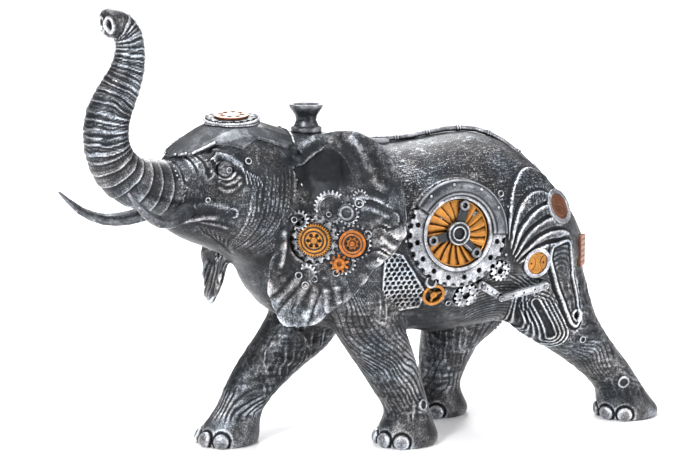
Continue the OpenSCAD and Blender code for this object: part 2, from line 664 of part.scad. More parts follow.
// ---- Back: chimney, pipe and its fittings ----
module chimney() color(dark_steel) place() translate([chimney_x, 0, chimney_z]) rotate_extrude() polygon([
    [0, 0], [chimney_foot_r, 0], [chimney_foot_r, 2.6], [chimney_r * 0.74, 3.6], [chimney_r * 0.6, chimney_h * 0.42],
    [chimney_r * 0.66, chimney_h * 0.6], [chimney_r, chimney_h * 0.9], [chimney_r, chimney_h],
    [chimney_r * 0.78, chimney_h], [chimney_r * 0.5, chimney_h * 0.82], [0, chimney_h * 0.82]
]);
clamp_l = 12;
clamp_w = 11;
cap_l = 8;
clamp_h = 3;
pipe_r = pipe_d / 2;
function back_tilt(x) = atan((back_at(x + 3) - back_at(x - 3)) / 6);
// Frame on the middle of the back, its corner where a fitting of this length and width starts
module clamp_seat(x, l, w) {
    translate([x, 0, back_at(x)]) rotate([0, -back_tilt(x), 0]) translate([-l / 2, -w / 2, -1]) children();
}
pipe_end = 3;                // the pipe runs this far past the middle of each of its fittings
pipe_x = [
    clamp_x - pipe_end, for (r = torso_line) if (r[0] > clamp_x && r[0] < cap_x) r[0], cap_x + pipe_end
];
pipe_path = [
    for (x = pipe_x) let (a = back_tilt(x)) [x - sin(a) * pipe_r, 0, back_at(x) + cos(a) * pipe_r, pipe_r]
];
module pipe_skin() tube(pipe_path, 12);
module spine_pipe() color(steel) place() pipe_skin();
module fitting(x, l, w) color(dark_steel) place() difference() {
    clamp_seat(x, l, w) cube([l, w, clamp_h + 1]);
    pipe_skin();
}
module pipe_front_clamp() fitting(clamp_x, clamp_l, clamp_w);
module pipe_rear_cap() fitting(cap_x, cap_l, clamp_w);

// ---- Skull: a riveted plate on the crown, a scalloped gear and a rosette ----
skull_seat = [-36, 0, 42.6];
skull_tilt = 4;
skull_lean = 5;
skull_t = 1.6;
module skull_frame() translate(skull_seat) rotate([skull_lean, -skull_tilt, 0]) children();
module skull_outline() {
    linear_extrude(80) polygon([
        for (p = smooth_loop([[-82, 0], [-74, 13], [-60, 17], [-46, 26], [-34, 24], [-20, 26], [-6, 22], [0, 0],
                              [-6, -22], [-20, -26], [-34, -24], [-46, -26], [-60, -17], [-74, -13]], 2)) p
    ]);
}
module skull_plate() color(dark_steel) head_place() difference() {
    union() {
        intersection() {
            head_skin(skull_t);
            skull_outline();
        }
        skull_frame() cylinder(r = skull_gear_r + 0.6, h = 1.6);
    }
    head_skin();
    skull_frame() translate([0, 0, 1.6]) cylinder(r = skull_gear_r + 2, h = 12);
    torso_in_head();
}
module skull_gear() color(dark_steel) head_place() skull_frame() translate([0, 0, 1.6]) difference() {
    linear_extrude(1.6) polygon(toothed(18, skull_gear_r - 1.6, skull_gear_r));
    for (k = [0 : 8]) rotate(40 * k) translate([skull_gear_r - 3, 0, 1]) cylinder(r = 0.8, h = 4, $fn = 16);
}
module skull_rosette() color(copper) head_place() skull_frame() translate([0, 0, 3.2]) difference() {
    cylinder(r = rosette_r, h = 1.4);
    for (k = [0 : 7]) rotate(45 * k) translate([rosette_r * 0.62, 0, 0.6]) cylinder(r = 1.7, h = 4, $fn = 20);
}

// ---- Tail: hangs down the rump from its root ----
tail_rows = [
    [-6, 2, 4, 4.8], [2, 4, 0, 4.4], [6, 7, -12, 3.4], [6, 10, -26, 2.7], [6, 13, -40, 2.6], [5, 15, -50, 3.8],
    [4, 16, -58, 3.2], [3, 16, -66, 0.8]
];
tail_at = [chest_x + 0.99 * body_len, 0, belly_z + 0.41 * body_h];
module tail() color(steel) place() difference() {
    tube([for (r = smooth(tail_rows, 2)) [tail_at[0] + r[0], r[1], tail_at[2] + r[2], r[3]]], 12);
    torso_skin();
}

// ---- Stopper: a flanged rubber plug with a finger hollow ----
module belly_stopper() color(rubber) place() translate([stopper_x, 0, stopper_z]) difference() {
    union() {
        cylinder(r = hole_r - stopper_gap, h = plug_h);
        translate([0, 0, -flange_t]) cylinder(r = hole_r + flange_w, h = flange_t);
    }
    translate([0, 0, 2]) cylinder(r = hole_r - 3.5, h = plug_h);
    translate([0, 0, -flange_t - 1]) cylinder(r = 5, h = 2);
}

torso_shell();
head();
trunk();
left_ear();
right_ear();
left_tusk();
right_tusk();
tail();
front_left_leg();
front_right_leg();
rear_left_leg();
rear_right_leg();
eyes();
skull_plate();
skull_gear();
skull_rosette();
chimney();
spine_pipe();
pipe_front_clamp();
pipe_rear_cap();
belly_stopper();
left_ring_gear();
right_ring_gear();
left_fan();
right_fan();
left_spider();
right_spider();
left_guard_arch();
right_guard_arch();
left_idler_gear();
right_idler_gear();
left_lower_gear();
right_lower_gear();
left_brass_hoop();
right_brass_hoop();
left_crank_link();
right_crank_link();
left_rod_link();
right_rod_link();
link_pins();
hip_rings();
hip_inserts();
rump_rings();
rump_inserts();
rump_grilles();
left_ear_plate();
right_ear_plate();
left_crown_wheel();
right_crown_wheel();
left_spoked_wheel();
right_spoked_wheel();
left_sun_pinion();
right_sun_pinion();
ear_dials();
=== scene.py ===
"""Looks of the walking elephant money box: sculpted casting, clockwork, finishes and studio."""

import json
import math

import bmesh
import bpy
import numpy as np
from bpy.props import FloatProperty, FloatVectorProperty, IntProperty, PointerProperty
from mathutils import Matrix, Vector
from mathutils.bvhtree import BVHTree
from mathutils.kdtree import KDTree


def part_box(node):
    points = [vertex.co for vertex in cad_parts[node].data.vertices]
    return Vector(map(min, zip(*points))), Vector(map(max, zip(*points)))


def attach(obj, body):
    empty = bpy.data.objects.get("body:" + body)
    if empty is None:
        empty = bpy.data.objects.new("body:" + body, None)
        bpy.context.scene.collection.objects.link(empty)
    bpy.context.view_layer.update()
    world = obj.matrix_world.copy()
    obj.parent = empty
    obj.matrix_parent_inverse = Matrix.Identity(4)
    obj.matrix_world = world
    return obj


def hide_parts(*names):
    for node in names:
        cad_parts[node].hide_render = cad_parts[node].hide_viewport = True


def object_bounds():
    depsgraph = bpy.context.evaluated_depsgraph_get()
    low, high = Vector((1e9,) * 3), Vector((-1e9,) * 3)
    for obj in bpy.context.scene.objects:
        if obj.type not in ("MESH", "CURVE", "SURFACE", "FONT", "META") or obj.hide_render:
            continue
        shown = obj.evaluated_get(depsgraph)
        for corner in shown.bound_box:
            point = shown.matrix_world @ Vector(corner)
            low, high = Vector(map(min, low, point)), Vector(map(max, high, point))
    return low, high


bl_info = {
    "name": "Clockwork Elephant Money Box",
    "version": (1, 0, 0),
    "blender": (4, 5, 0),
    "location": "3D View > Sidebar > Elephant",
    "description": "Sculpts the casting over the CAD frame and paints it in antique silver, brass and copper",
    "category": "Object",
}

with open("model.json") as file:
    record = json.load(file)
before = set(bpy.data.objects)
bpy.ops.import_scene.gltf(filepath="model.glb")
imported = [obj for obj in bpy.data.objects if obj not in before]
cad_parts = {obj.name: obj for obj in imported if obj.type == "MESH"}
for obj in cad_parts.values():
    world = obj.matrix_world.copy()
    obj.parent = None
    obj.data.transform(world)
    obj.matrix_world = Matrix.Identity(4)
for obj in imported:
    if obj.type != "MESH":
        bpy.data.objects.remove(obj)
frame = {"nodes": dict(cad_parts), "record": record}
CAD_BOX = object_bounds()

MM = 0.001
BODY = "elephant"
SIDES = {"left": -1, "right": 1}
CASTINGS = (
    "torso_shell", "head", "trunk", "left_ear", "right_ear", "tail",
    "front_left_leg", "front_right_leg", "rear_left_leg", "rear_right_leg",
)
LEGS = tuple(n for n in CASTINGS if n.endswith("leg"))
UP = np.array([0.0, 0.0, 1.0])


# ---- Reading the frame, in millimetres ----


def points_of(name):
    """Vertices of a CAD node."""
    mesh = frame["nodes"][name].data
    co = np.empty(len(mesh.vertices) * 3)
    mesh.vertices.foreach_get("co", co)
    return co.reshape(-1, 3) / MM


def triangles_of(name):
    """Triangles of a CAD node."""
    mesh = frame["nodes"][name].data
    mesh.calc_loop_triangles()
    found = np.empty(len(mesh.loop_triangles) * 3, int)
    mesh.loop_triangles.foreach_get("vertices", found)
    return found.reshape(-1, 3)


def unit(v):
    return v / np.linalg.norm(v)


class Disc:
    """Frame of a flat round node: centre of its outer face, and its axes back, up and out."""

    def __init__(self, name, out, back=(1.0, 0.0, 0.0), part=None):
        co = points_of(name)
        co = co if part is None else co[part]
        spread = co - co.mean(0)
        axis = unit(np.linalg.svd(spread[:: max(1, len(co) // 4000)], full_matrices=False)[2][2])
        self.out = axis * (1 if axis @ np.asarray(out, float) > 0 else -1)
        self.back = unit(np.array(back) - self.out * (self.out @ back))
        self.up = np.cross(self.out, self.back)
        self.up *= np.sign(self.up[2])
        basis = np.stack([self.back, self.up, self.out])
        local = co @ basis.T
        lowest, highest = local.min(0), local.max(0)
        self.bottom, self.top = (co @ self.out).min(), (co @ self.out).max()
        middle = (lowest + highest) / 2
        self.centre = np.array([middle[0], middle[1], self.top]) @ basis
        self.radius = (highest - lowest)[:2].max() / 2
        self.height = self.top - self.bottom

    def at(self, back, up, out=0.0):
        """Point or points in this frame."""
        return (
            self.centre
            + np.multiply.outer(back, self.back)
            + np.multiply.outer(up, self.up)
            + np.multiply.outer(out, self.out)
        )

    def polar(self, r, angle, out=0.0):
        return self.at(r * np.cos(angle), r * np.sin(angle), out)


WHEEL = {side: Disc(f"{side}_ring_gear", (0, sign, 0)) for side, sign in SIDES.items()}
EAR = {
    "left": Disc("left_ear_plate", (-1, -0.6, 0)),
    "right": Disc("right_ear_plate", (-1, 0.1, 0), (0.0, 1.0, 0.0)),
}


class HeadFrame:
    """Frame of the head: middle between the eyes, and its axes back and across to its right."""

    def __init__(self):
        co = points_of("eyes")
        split = co[:, 1].mean()
        pair = [co[co[:, 1] < split], co[co[:, 1] > split]]
        left, right = [(c.min(0) + c.max(0)) / 2 for c in pair]
        self.eyes = {"left": left, "right": right}
        self.eye_radius = (pair[0][:, 2].max() - pair[0][:, 2].min()) / 2
        self.middle = (left + right) / 2
        self.across = unit(right - left)
        self.back = unit(np.cross(self.across, UP))

    def at(self, back, across, up):
        return self.middle + back * self.back + across * self.across + up * UP


HEAD = HeadFrame()


def surface_of(name):
    """Surface of a CAD node, for rays and nearest points."""
    return BVHTree.FromPolygons(points_of(name).tolist(), triangles_of(name).tolist())


SHELLS = {name: surface_of(name) for name in CASTINGS}
FLANK_RAY = 200.0  # how far out rays start, in millimetres: beside the body, beside the face, before an ear
FACE_RAY = 90.0
EAR_RAY = 40.0


def land(names, start, direction):
    """Where a ray first meets any of these castings, or None."""
    best, nearest = None, None
    for name in names:
        hit, _, _, distance = SHELLS[name].ray_cast(Vector(start), Vector(direction))
        if hit is not None and (nearest is None or distance < nearest):
            best, nearest = np.array(hit), distance
    return best


def face_line(points, side, names=("head",)):
    """Points back from an eye and up from it, dropped on the head from its side."""
    sign = SIDES[side]
    hits = [land(names, HEAD.at(b, sign * FACE_RAY, u), -sign * HEAD.across) for b, u in points]
    return np.array([h for h in hits if h is not None])


def ear_line(points, side):
    """Points back from the big ear gear and up from it, dropped on the ear from its front."""
    disc = EAR[side]
    hits = [land((f"{side}_ear",), disc.at(b, u, EAR_RAY), -disc.out) for b, u in points]
    return np.array([h for h in hits if h is not None])


def curve(points, steps=8):
    """Smooth line through a few points."""
    p = np.asarray(points, float)
    p = np.vstack([2 * p[0] - p[1], p, 2 * p[-1] - p[-2]])
    t = np.linspace(0, 1, steps, endpoint=False)[:, None]
    runs = []
    for a, b, c, d in zip(p, p[1:], p[2:], p[3:]):
        runs.append(
            0.5 * (2 * b + (c - a) * t + (2 * a - 5 * b + 4 * c - d) * t**2 + (3 * b - a - 3 * c + d) * t**3)
        )
    return np.vstack(runs + [p[-2:-1]])


def smooth_step(x, low, high):
    t = np.clip((x - low) / (high - low), 0, 1)
    return t * t * (3 - 2 * t)


def noise(co, size, seed=0, octaves=1):
    """Smooth noise from -1 to 1 over points, with bumps about this size in millimetres."""
    total, weight = np.zeros(len(co)), 0.0
    for octave in range(octaves):
        p = np.asarray(co) / (size / 2**octave) + 31.7 * (seed + 1) + 7.3 * octave
        cell = np.floor(p).astype(np.int64)
        f = p - cell
        f = f * f * (3 - 2 * f)
        value = np.zeros(len(co))
        for corner in range(8):
            step = np.array([corner & 1, corner >> 1 & 1, corner >> 2 & 1])
            key = (cell + step) @ np.array([374761393, 668265263, 2147483647])
            key = (key ^ (key >> 13)) * 1274126177
            key = (key ^ (key >> 16)) & 0xFFFF
            share = np.prod(np.where(step, f, 1 - f), axis=1)
            value += share * (key / 32767.5 - 1)
        total += value / 2**octave
        weight += 1 / 2**octave
    return total / weight


# ---- The casting while it is sculpted ----


class Clay:
    """Skin of the casting in millimetres, with the relief worked into it."""

    def __init__(self, mesh):
        n = len(mesh.vertices)
        co = np.empty(n * 3)
        mesh.vertices.foreach_get("co", co)
        self.co = co.reshape(-1, 3) / MM
        edges = np.empty(len(mesh.edges) * 2, int)
        mesh.edges.foreach_get("vertices", edges)
        self.a, self.b = edges.reshape(-1, 2).T
        self.links = np.bincount(self.a, minlength=n) + np.bincount(self.b, minlength=n)
        quads = np.empty(len(mesh.loops), int)
        mesh.loops.foreach_get("vertex_index", quads)
        self.quads = quads.reshape(-1, 4)
        self.relief = np.zeros(n)
        self.tone = np.zeros(n)
        self.label = np.zeros(n, int)

    def spread(self, field, times, mask=None):
        """A field averaged over neighbouring points a number of times."""
        field = field.reshape(len(self.co), -1).copy()
        n = len(field)
        for _ in range(times):
            mean = np.stack(
                [
                    np.bincount(self.a, column[self.b], n) + np.bincount(self.b, column[self.a], n)
                    for column in field.T
                ],
                axis=1,
            )
            mean /= np.maximum(self.links, 1)[:, None]
            step = 0.5 * (mean - field)
            field += step if mask is None else step * mask[:, None]
        return field

    def normals(self):
        q = self.co[self.quads]
        face = np.cross(q[:, 2] - q[:, 0], q[:, 3] - q[:, 1])
        total = np.zeros_like(self.co)
        for corner in range(4):
            for axis in range(3):
                total[:, axis] += np.bincount(self.quads[:, corner], face[:, axis], len(self.co))
        return total / np.maximum(np.linalg.norm(total, axis=1), 1e-12)[:, None]

    def near(self, line, reach, names=None):
        """Indices of the points that may lie within reach of a line, on the named castings."""
        low, high = line.min(0) - reach, line.max(0) + reach
        inside = np.all((self.co > low) & (self.co < high), axis=1)
        if names is not None:
            inside &= np.isin(self.label, [CASTINGS.index(n) for n in names])
        return np.flatnonzero(inside)

    def measure(self, line, reach, names=None):
        """(indices, distance, place along the line from 0 to 1) of the points near a line."""
        index = self.near(line, reach, names)
        co = self.co[index]
        best = np.full(len(index), 1e9)
        place = np.zeros(len(index))
        lengths = np.linalg.norm(np.diff(line, axis=0), axis=1)
        start = np.concatenate([[0], np.cumsum(lengths)])
        for k, (p, q) in enumerate(zip(line, line[1:])):
            d = q - p
            t = np.clip((co - p) @ d / max(d @ d, 1e-9), 0, 1)
            distance = np.linalg.norm(co - p - t[:, None] * d, axis=1)
            closer = distance < best
            best[closer] = distance[closer]
            place[closer] = (start[k] + t[closer] * lengths[k]) / start[-1]
        keep = best < reach
        return index[keep], best[keep], place[keep]

    def stroke(self, line, width, height, names=None, taper=True):
        """Raises a rounded ridge along a line, or cuts a groove where height is negative."""
        if len(line) < 2:
            return
        index, distance, place = self.measure(line, 2.2 * width, names)
        lift = height * np.exp(-((distance / width) ** 2) * 1.6)
        if taper:
            lift *= np.clip(np.sin(np.pi * np.clip(place, 0.02, 0.98)) * 2.2, 0, 1)
        if height > 0:
            self.relief[index] = np.maximum(self.relief[index], lift)
        else:
            self.relief[index] = np.minimum(self.relief[index], lift + 0.3 * self.relief[index].clip(0))

    def settle(self):
        """Moves the points by the relief added since the last time."""
        self.co = self.co + self.normals() * self.relief[:, None]
        self.tone += self.relief
        self.relief = np.zeros(len(self.co))


WALL_REACH = 34.0  # a ray this long inside the torso can only cross the chamber


def core_of(name):
    """Hull over the hollow of a casting, and its lining's triangles."""
    co, tri = points_of(name), triangles_of(name)
    tree = SHELLS[name]
    lining = []
    for k, t in enumerate(tri):
        p, q, r = co[t]
        normal = np.cross(q - p, r - p)
        size = np.linalg.norm(normal)
        if size < 1e-9:
            continue
        normal /= size
        hit = tree.ray_cast(Vector((p + q + r) / 3 + normal * 0.01), Vector(normal))
        if hit[0] is not None and hit[3] > WALL_REACH and hit[1].dot(Vector(normal)) < 0:
            lining.append(k)
    return co, tri[lining]


def mesh_object(name, verts, faces, scale=MM):
    """Object from vertices in millimetres and faces."""
    mesh = bpy.data.meshes.new(name)
    mesh.from_pydata((np.asarray(verts, float) * scale).tolist(), [], [list(map(int, f)) for f in faces])
    mesh.update()
    o = bpy.data.objects.new(name, mesh)
    bpy.context.scene.collection.objects.link(o)
    return o


def finish_piece(o, material, smooth=True, replaces=()):
    """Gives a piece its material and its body."""
    o.data.materials.clear()
    o.data.materials.append(material)
    if smooth:
        o.data.shade_smooth()
    if replaces:
        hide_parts(*replaces)
    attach(o, BODY)
    return o


# ---- Finishes ----


class Finish:
    """A material being wired up."""

    def __init__(self, name, roughness, metallic, **constants):
        self.material = bpy.data.materials.new(name)
        self.material.use_nodes = True
        self.tree = self.material.node_tree
        self.shader = self.tree.nodes["Principled BSDF"]
        self.shader.inputs["Roughness"].default_value = roughness
        self.shader.inputs["Metallic"].default_value = metallic
        for key, value in constants.items():
            self.shader.inputs[key.replace("_", " ")].default_value = value
        self.coordinates = self.tree.nodes.new("ShaderNodeTexCoord").outputs["Object"]

    def node(self, kind, values=(), **settings):
        """A new node, its properties set and its inputs given as (socket, value or output)."""
        made = self.tree.nodes.new(kind)
        for key, value in settings.items():
            setattr(made, key, value)
        for socket, value in values:
            if isinstance(value, bpy.types.NodeSocket):
                self.tree.links.new(value, made.inputs[socket])
            else:
                made.inputs[socket].default_value = value
        return made

    def math(self, operation, a, b=0.0, clamp=False):
        return self.node("ShaderNodeMath", ((0, a), (1, b)), operation=operation, use_clamp=clamp).outputs[0]

    def noise(self, size, detail=2.0, roughness=0.5, stretch=(1, 1, 1), turn=(0, 0, 0), warp=0.0):
        """Noise with bumps about this size in millimetres."""
        where = self.node(
            "ShaderNodeMapping", (("Vector", self.coordinates), ("Rotation", turn), ("Scale", stretch))
        ).outputs[0]
        values = (("Vector", where), ("Scale", 1 / (size * MM)), ("Detail", detail), ("Roughness", roughness),
                  ("Distortion", warp))
        return self.node("ShaderNodeTexNoise", values).outputs[0]

    def attribute(self, name):
        return self.node("ShaderNodeAttribute", attribute_name=name).outputs["Fac"]

    def ramp(self, value, stops):
        """Colours along a value, given as (place, colour)."""
        made = self.node("ShaderNodeValToRGB", ((0, value),))
        ramp = made.color_ramp
        while len(ramp.elements) < len(stops):
            ramp.elements.new(1.0)
        for element, (place, colour) in zip(ramp.elements, stops):
            element.position = place
            element.color = (*colour, 1.0)
        return made.outputs[0]

    def mix(self, share, a, b, kind="MIX"):
        made = self.node("ShaderNodeMix", data_type="RGBA", blend_type=kind)
        for socket, value in ((made.inputs["Factor"], share), (made.inputs[6], a), (made.inputs[7], b)):
            if isinstance(value, bpy.types.NodeSocket):
                self.tree.links.new(value, socket)
            else:
                socket.default_value = value
        return made.outputs[2]

    def bump(self, height, distance, strength=1.0, under=None):
        values = [("Strength", strength), ("Distance", distance * MM), ("Height", height)]
        if under is not None:
            values.append(("Normal", under))
        return self.node("ShaderNodeBump", values).outputs[0]

    def done(self, colour, roughness=None, normal=None):
        links = self.tree.links
        links.new(colour, self.shader.inputs["Base Color"])
        if roughness is not None:
            links.new(roughness, self.shader.inputs["Roughness"])
        if normal is not None:
            links.new(normal, self.shader.inputs["Normal"])
        return self.material


def shade(colour, amount):
    return tuple(min(1.0, c * amount) for c in colour)


def silver_stops(paint):
    """Antique silver from the black in the recesses to the bare rubbed ridges."""
    black, silver, bright = tuple(paint.patina), tuple(paint.silver), tuple(paint.rubbed)
    return (
        (0.0, black),
        (0.36, shade(black, 1.8)),
        (0.52, shade(silver, 0.11)),
        (0.64, shade(silver, 0.36)),
        (0.80, shade(silver, 1.05)),
        (0.98, bright),
    )


def cast_silver(paint):
    """The casting: black patina, silver rubbed over its relief, scratched hide on the back."""
    f = Finish("antique_silver_casting", 0.4, paint.metallic)
    tone = f.attribute("tone")
    fleck = f.noise(0.9, 4.0, 0.7)
    blot = f.noise(13.0, 3.0, 0.6)
    across = f.noise(0.75, 3.0, 0.6, (0.16, 1, 1), (0, 0.75, 0.2))
    along = f.noise(0.75, 3.0, 0.6, (1, 1, 0.16), (0, 0.65, -0.2))
    lines = f.math("MAXIMUM", across, along)
    hatch = f.math("MULTIPLY", f.math("SUBTRACT", lines, 0.55), f.attribute("hatch"))
    rub = f.math("ADD", tone, f.math("MULTIPLY", f.math("SUBTRACT", fleck, 0.5), 0.95))
    rub = f.math("ADD", rub, f.math("MULTIPLY", f.math("SUBTRACT", blot, 0.5), 0.6))
    rub = f.math("ADD", rub, f.math("MULTIPLY", hatch, 2.6), clamp=True)
    colour = f.ramp(rub, silver_stops(paint))
    warm = f.ramp(f.noise(22.0, 2.0), ((0.35, (0.86, 0.94, 1.0)), (0.65, (1.0, 0.93, 0.87))))
    colour = f.mix(0.8, colour, warm, "MULTIPLY")
    rough = f.math("ADD", f.math("MULTIPLY", fleck, 0.3), 0.24)
    height = f.math("ADD", f.math("MULTIPLY", fleck, 0.5), f.math("MULTIPLY", hatch, 1.6))
    pores = f.noise(0.45, 2.0, 0.6)
    normal = f.bump(height, 0.34, 0.75, f.bump(pores, 0.12, 0.5))
    return f.done(colour, rough, normal)


def worn_metal(name, stops, metallic, roughness, shade_reach=2.4, fleck=1.1, gain=1.0, mottle=1.0):
    """Painted metal with black painted shade in its corners and where it meets other parts, and with rubbed
    edges, for the clockwork.
    """
    f = Finish(name, roughness, metallic)
    # Ambient occlusion over the distance given finds the corners and the places where other parts come close:
    # these get painted shade.
    corner = f.node("ShaderNodeAmbientOcclusion", (("Distance", shade_reach * MM),), samples=6).outputs["AO"]
    edge = f.node("ShaderNodeNewGeometry").outputs["Pointiness"]
    grain = f.noise(fleck, 4.0, 0.7)
    blot = f.noise(7.0, 2.0)
    # Where the occlusion is low the ramp falls toward black: painted shade in corners and between parts.
    rub = f.math("MULTIPLY", f.math("POWER", corner, 1.3), 0.74 * gain)
    rub = f.math("ADD", rub, f.math("MULTIPLY", f.math("SUBTRACT", edge, 0.5), 3.0))
    rub = f.math("ADD", rub, f.math("MULTIPLY", f.math("SUBTRACT", grain, 0.5), 0.7 * mottle))
    rub = f.math("ADD", rub, f.math("MULTIPLY", f.math("SUBTRACT", blot, 0.5), 0.5 * mottle), clamp=True)
    colour = f.ramp(rub, stops)
    rough = f.math("ADD", f.math("MULTIPLY", grain, 0.24), roughness - 0.12)
    return f.done(colour, rough, f.bump(grain, 0.16, 0.7))


def metal_stops(black, metal, bright):
    return ((0.0, black), (0.28, shade(metal, 0.2)), (0.5, shade(metal, 0.62)), (0.7, metal), (0.95, bright))


def rubber_finish(paint):
    """Matt black rubber with a fine moulded grain."""
    f = Finish("stopper_rubber", 0.7, 0.0)
    grain = f.noise(0.7, 3.0, 0.6)
    dust = f.noise(9.0, 3.0, 0.6)
    black = tuple(paint.rubber)
    colour = f.ramp(dust, ((0.3, black), (0.75, shade(black, 2.2))))
    rough = f.math("ADD", f.math("MULTIPLY", grain, 0.2), 0.6)
    return f.done(colour, rough, f.bump(grain, 0.1, 0.6))


FINISHES = {}


def finishes():
    """All finishes, made once."""
    if not FINISHES:
        paint = bpy.context.scene.elephant_paint
        black = tuple(paint.patina)
        steel = tuple(paint.silver)
        FINISHES["cast"] = cast_silver(paint)
        FINISHES["silver"] = worn_metal(
            "antique_silver_clockwork", silver_stops(paint), paint.metallic, 0.36, gain=0.82
        )
        gun = tuple(paint.gunmetal)
        FINISHES["gunmetal"] = worn_metal(
            "gunmetal", metal_stops(black, gun, shade(steel, 0.9)), paint.metallic, 0.34, 1.6, 1.4, 0.95, 0.5
        )
        FINISHES["brass"] = worn_metal(
            "aged_brass", metal_stops(black, tuple(paint.brass), shade(paint.brass, 1.4)), 0.7, 0.36, gain=0.8
        )
        FINISHES["copper"] = worn_metal(
            "aged_copper", metal_stops(black, tuple(paint.copper), shade(paint.copper, 1.4)), 0.7, 0.38,
            gain=0.85,
        )
        FINISHES["orange"] = worn_metal(
            "orange_bronze", metal_stops(black, tuple(paint.bronze), shade(paint.bronze, 1.4)), 0.7, 0.36,
            gain=0.8,
        )
        FINISHES["cast_plain"] = worn_metal(
            "lid_silver", silver_stops(paint), paint.metallic, 0.4, 3.0, 0.8, 0.66
        )
        FINISHES["bright"] = worn_metal(
            "rubbed_silver", silver_stops(paint), paint.metallic, 0.32, 1.8, gain=0.92
        )
        FINISHES["dark"] = worn_metal(
            "dark_steel", metal_stops(black, shade(gun, 0.6), shade(steel, 0.5)), 0.5, 0.5, gain=0.8
        )
        FINISHES["hole"] = worn_metal("black_patina", metal_stops(black, black, shade(black, 3)), 0.2, 0.6)
        FINISHES["rubber"] = rubber_finish(paint)
    return FINISHES


# ---- Settings a user may change ----


class ElephantShape(bpy.types.PropertyGroup):
    """Sizes of the sculpted skin."""

    grid: FloatProperty(
        name="Grid", description="Spacing of the casting's points", default=0.00085, min=0.0006, max=0.003,
        unit="LENGTH", precision=5,
    )
    smoothing: IntProperty(
        name="Smoothing", description="Passes that round off the facets of the CAD lofts", default=60, min=0,
        max=200,
    )
    blend: IntProperty(
        name="Blend", description="Passes that melt one casting into the next", default=90, min=0, max=300
    )
    relief: FloatProperty(
        name="Relief", description="Strength of all folds, grooves and ridges", default=1.0, min=0.0, max=2.0,
        subtype="FACTOR",
    )


class ElephantPaint(bpy.types.PropertyGroup):
    """Colours of the finishes."""

    patina: FloatVectorProperty(
        name="Patina", description="Black left in the recesses", default=(0.008, 0.009, 0.011),
        subtype="COLOR", min=0, max=1,
    )
    silver: FloatVectorProperty(
        name="Silver", description="Antique silver on the skin", default=(0.40, 0.41, 0.44), subtype="COLOR",
        min=0, max=1,
    )
    rubbed: FloatVectorProperty(
        name="Rubbed silver", description="Silver rubbed bare on the ridges", default=(0.86, 0.87, 0.9),
        subtype="COLOR", min=0, max=1,
    )
    gunmetal: FloatVectorProperty(
        name="Gunmetal", description="Smooth dark plates and tusks", default=(0.05, 0.054, 0.06),
        subtype="COLOR", min=0, max=1,
    )
    brass: FloatVectorProperty(
        name="Brass", description="Fan blades, crown wheels and hip badge", default=(0.42, 0.18, 0.036),
        subtype="COLOR", min=0, max=1,
    )
    bronze: FloatVectorProperty(
        name="Orange bronze", description="Sun pinions and spoked wheels", default=(0.36, 0.12, 0.026),
        subtype="COLOR", min=0, max=1,
    )
    copper: FloatVectorProperty(
        name="Copper", description="Skull rosette, rump badge and grille", default=(0.22, 0.085, 0.045),
        subtype="COLOR", min=0, max=1,
    )
    rubber: FloatVectorProperty(
        name="Rubber", description="Belly stopper", default=(0.02, 0.02, 0.022), subtype="COLOR", min=0, max=1
    )
    metallic: FloatProperty(
        name="Metallic", description="How metallic the silver paint looks", default=0.72, min=0, max=1,
        subtype="FACTOR",
    )


class ElephantStudio(bpy.types.PropertyGroup):
    """Camera and light."""

    azimuth: FloatProperty(
        name="Azimuth", description="Camera's way round from the elephant's left side",
        default=math.radians(-24), subtype="ANGLE",
    )
    elevation: FloatProperty(
        name="Elevation", description="Camera's height above the horizon", default=math.radians(10),
        subtype="ANGLE",
    )
    distance: FloatProperty(
        name="Distance", description="From the camera to what it looks at", default=1.25, min=0.5, max=5,
        unit="LENGTH",
    )
    target: FloatVectorProperty(
        name="Target", description="Point the camera looks at", default=(-0.0026, 0.0102, 0.128),
        subtype="TRANSLATION", unit="LENGTH",
    )
    light: FloatProperty(
        name="Light", description="Strength of the studio lamps", default=1.0, min=0, max=5, subtype="FACTOR"
    )


# ---- The casting ----


def raw_casting(grid):
    """One skin over all castings, with the chamber filled by a core, and the chamber's own lining."""
    co, lining = core_of("torso_shell")
    hull = bmesh.new()
    for k in np.unique(lining):
        hull.verts.new(co[k])
    made = bmesh.ops.convex_hull(hull, input=hull.verts)
    loose = [g for g in made["geom_interior"] + made["geom_unused"] if isinstance(g, bmesh.types.BMVert)]
    bmesh.ops.delete(hull, geom=list(set(loose)), context="VERTS")
    hull.verts.index_update()
    core_co = np.array([v.co[:] for v in hull.verts])
    core_tri = [[v.index for v in f.verts] for f in hull.faces]
    hull.free()
    verts, faces, start = [], [], 0
    for name in CASTINGS:
        verts.append(points_of(name))
        faces += (triangles_of(name) + start).tolist()
        start += len(verts[-1])
    verts.append(core_co)
    faces += [[i + start for i in f] for f in core_tri]
    raw = mesh_object("raw", np.vstack(verts), faces)
    remesh = raw.modifiers.new("skin", "REMESH")
    remesh.mode = "VOXEL"
    remesh.voxel_size = grid
    bpy.context.view_layer.update()
    skin = bpy.data.meshes.new_from_object(raw.evaluated_get(bpy.context.evaluated_depsgraph_get()))
    bpy.data.objects.remove(raw)
    used, faces = np.unique(lining, return_inverse=True)
    return skin, BVHTree.FromPolygons(core_co.tolist(), core_tri), co[used], faces.reshape(-1, 3)


def label_points(clay):
    """Gives each point the casting whose CAD surface it is nearest to."""
    seeds, owner = [], []
    for index, name in enumerate(CASTINGS):
        co, tri = points_of(name), triangles_of(name)
        p, q, r = co[tri[:, 0]], co[tri[:, 1]], co[tri[:, 2]]
        seeds.append(np.vstack([(p + q + r) / 3, (p + q) / 2, (q + r) / 2, (r + p) / 2]))
        owner += [index] * len(seeds[-1])
    seeds = np.vstack(seeds)
    marks = KDTree(len(seeds))
    for number, seed in enumerate(seeds):
        marks.insert(seed, number)
    marks.balance()
    owner = np.array(owner)
    clay.label = owner[[marks.find(p)[1] for p in clay.co]]


PAIRED = ("hip_rings", "hip_inserts", "rump_rings", "rump_inserts", "rump_grilles", "ear_dials")


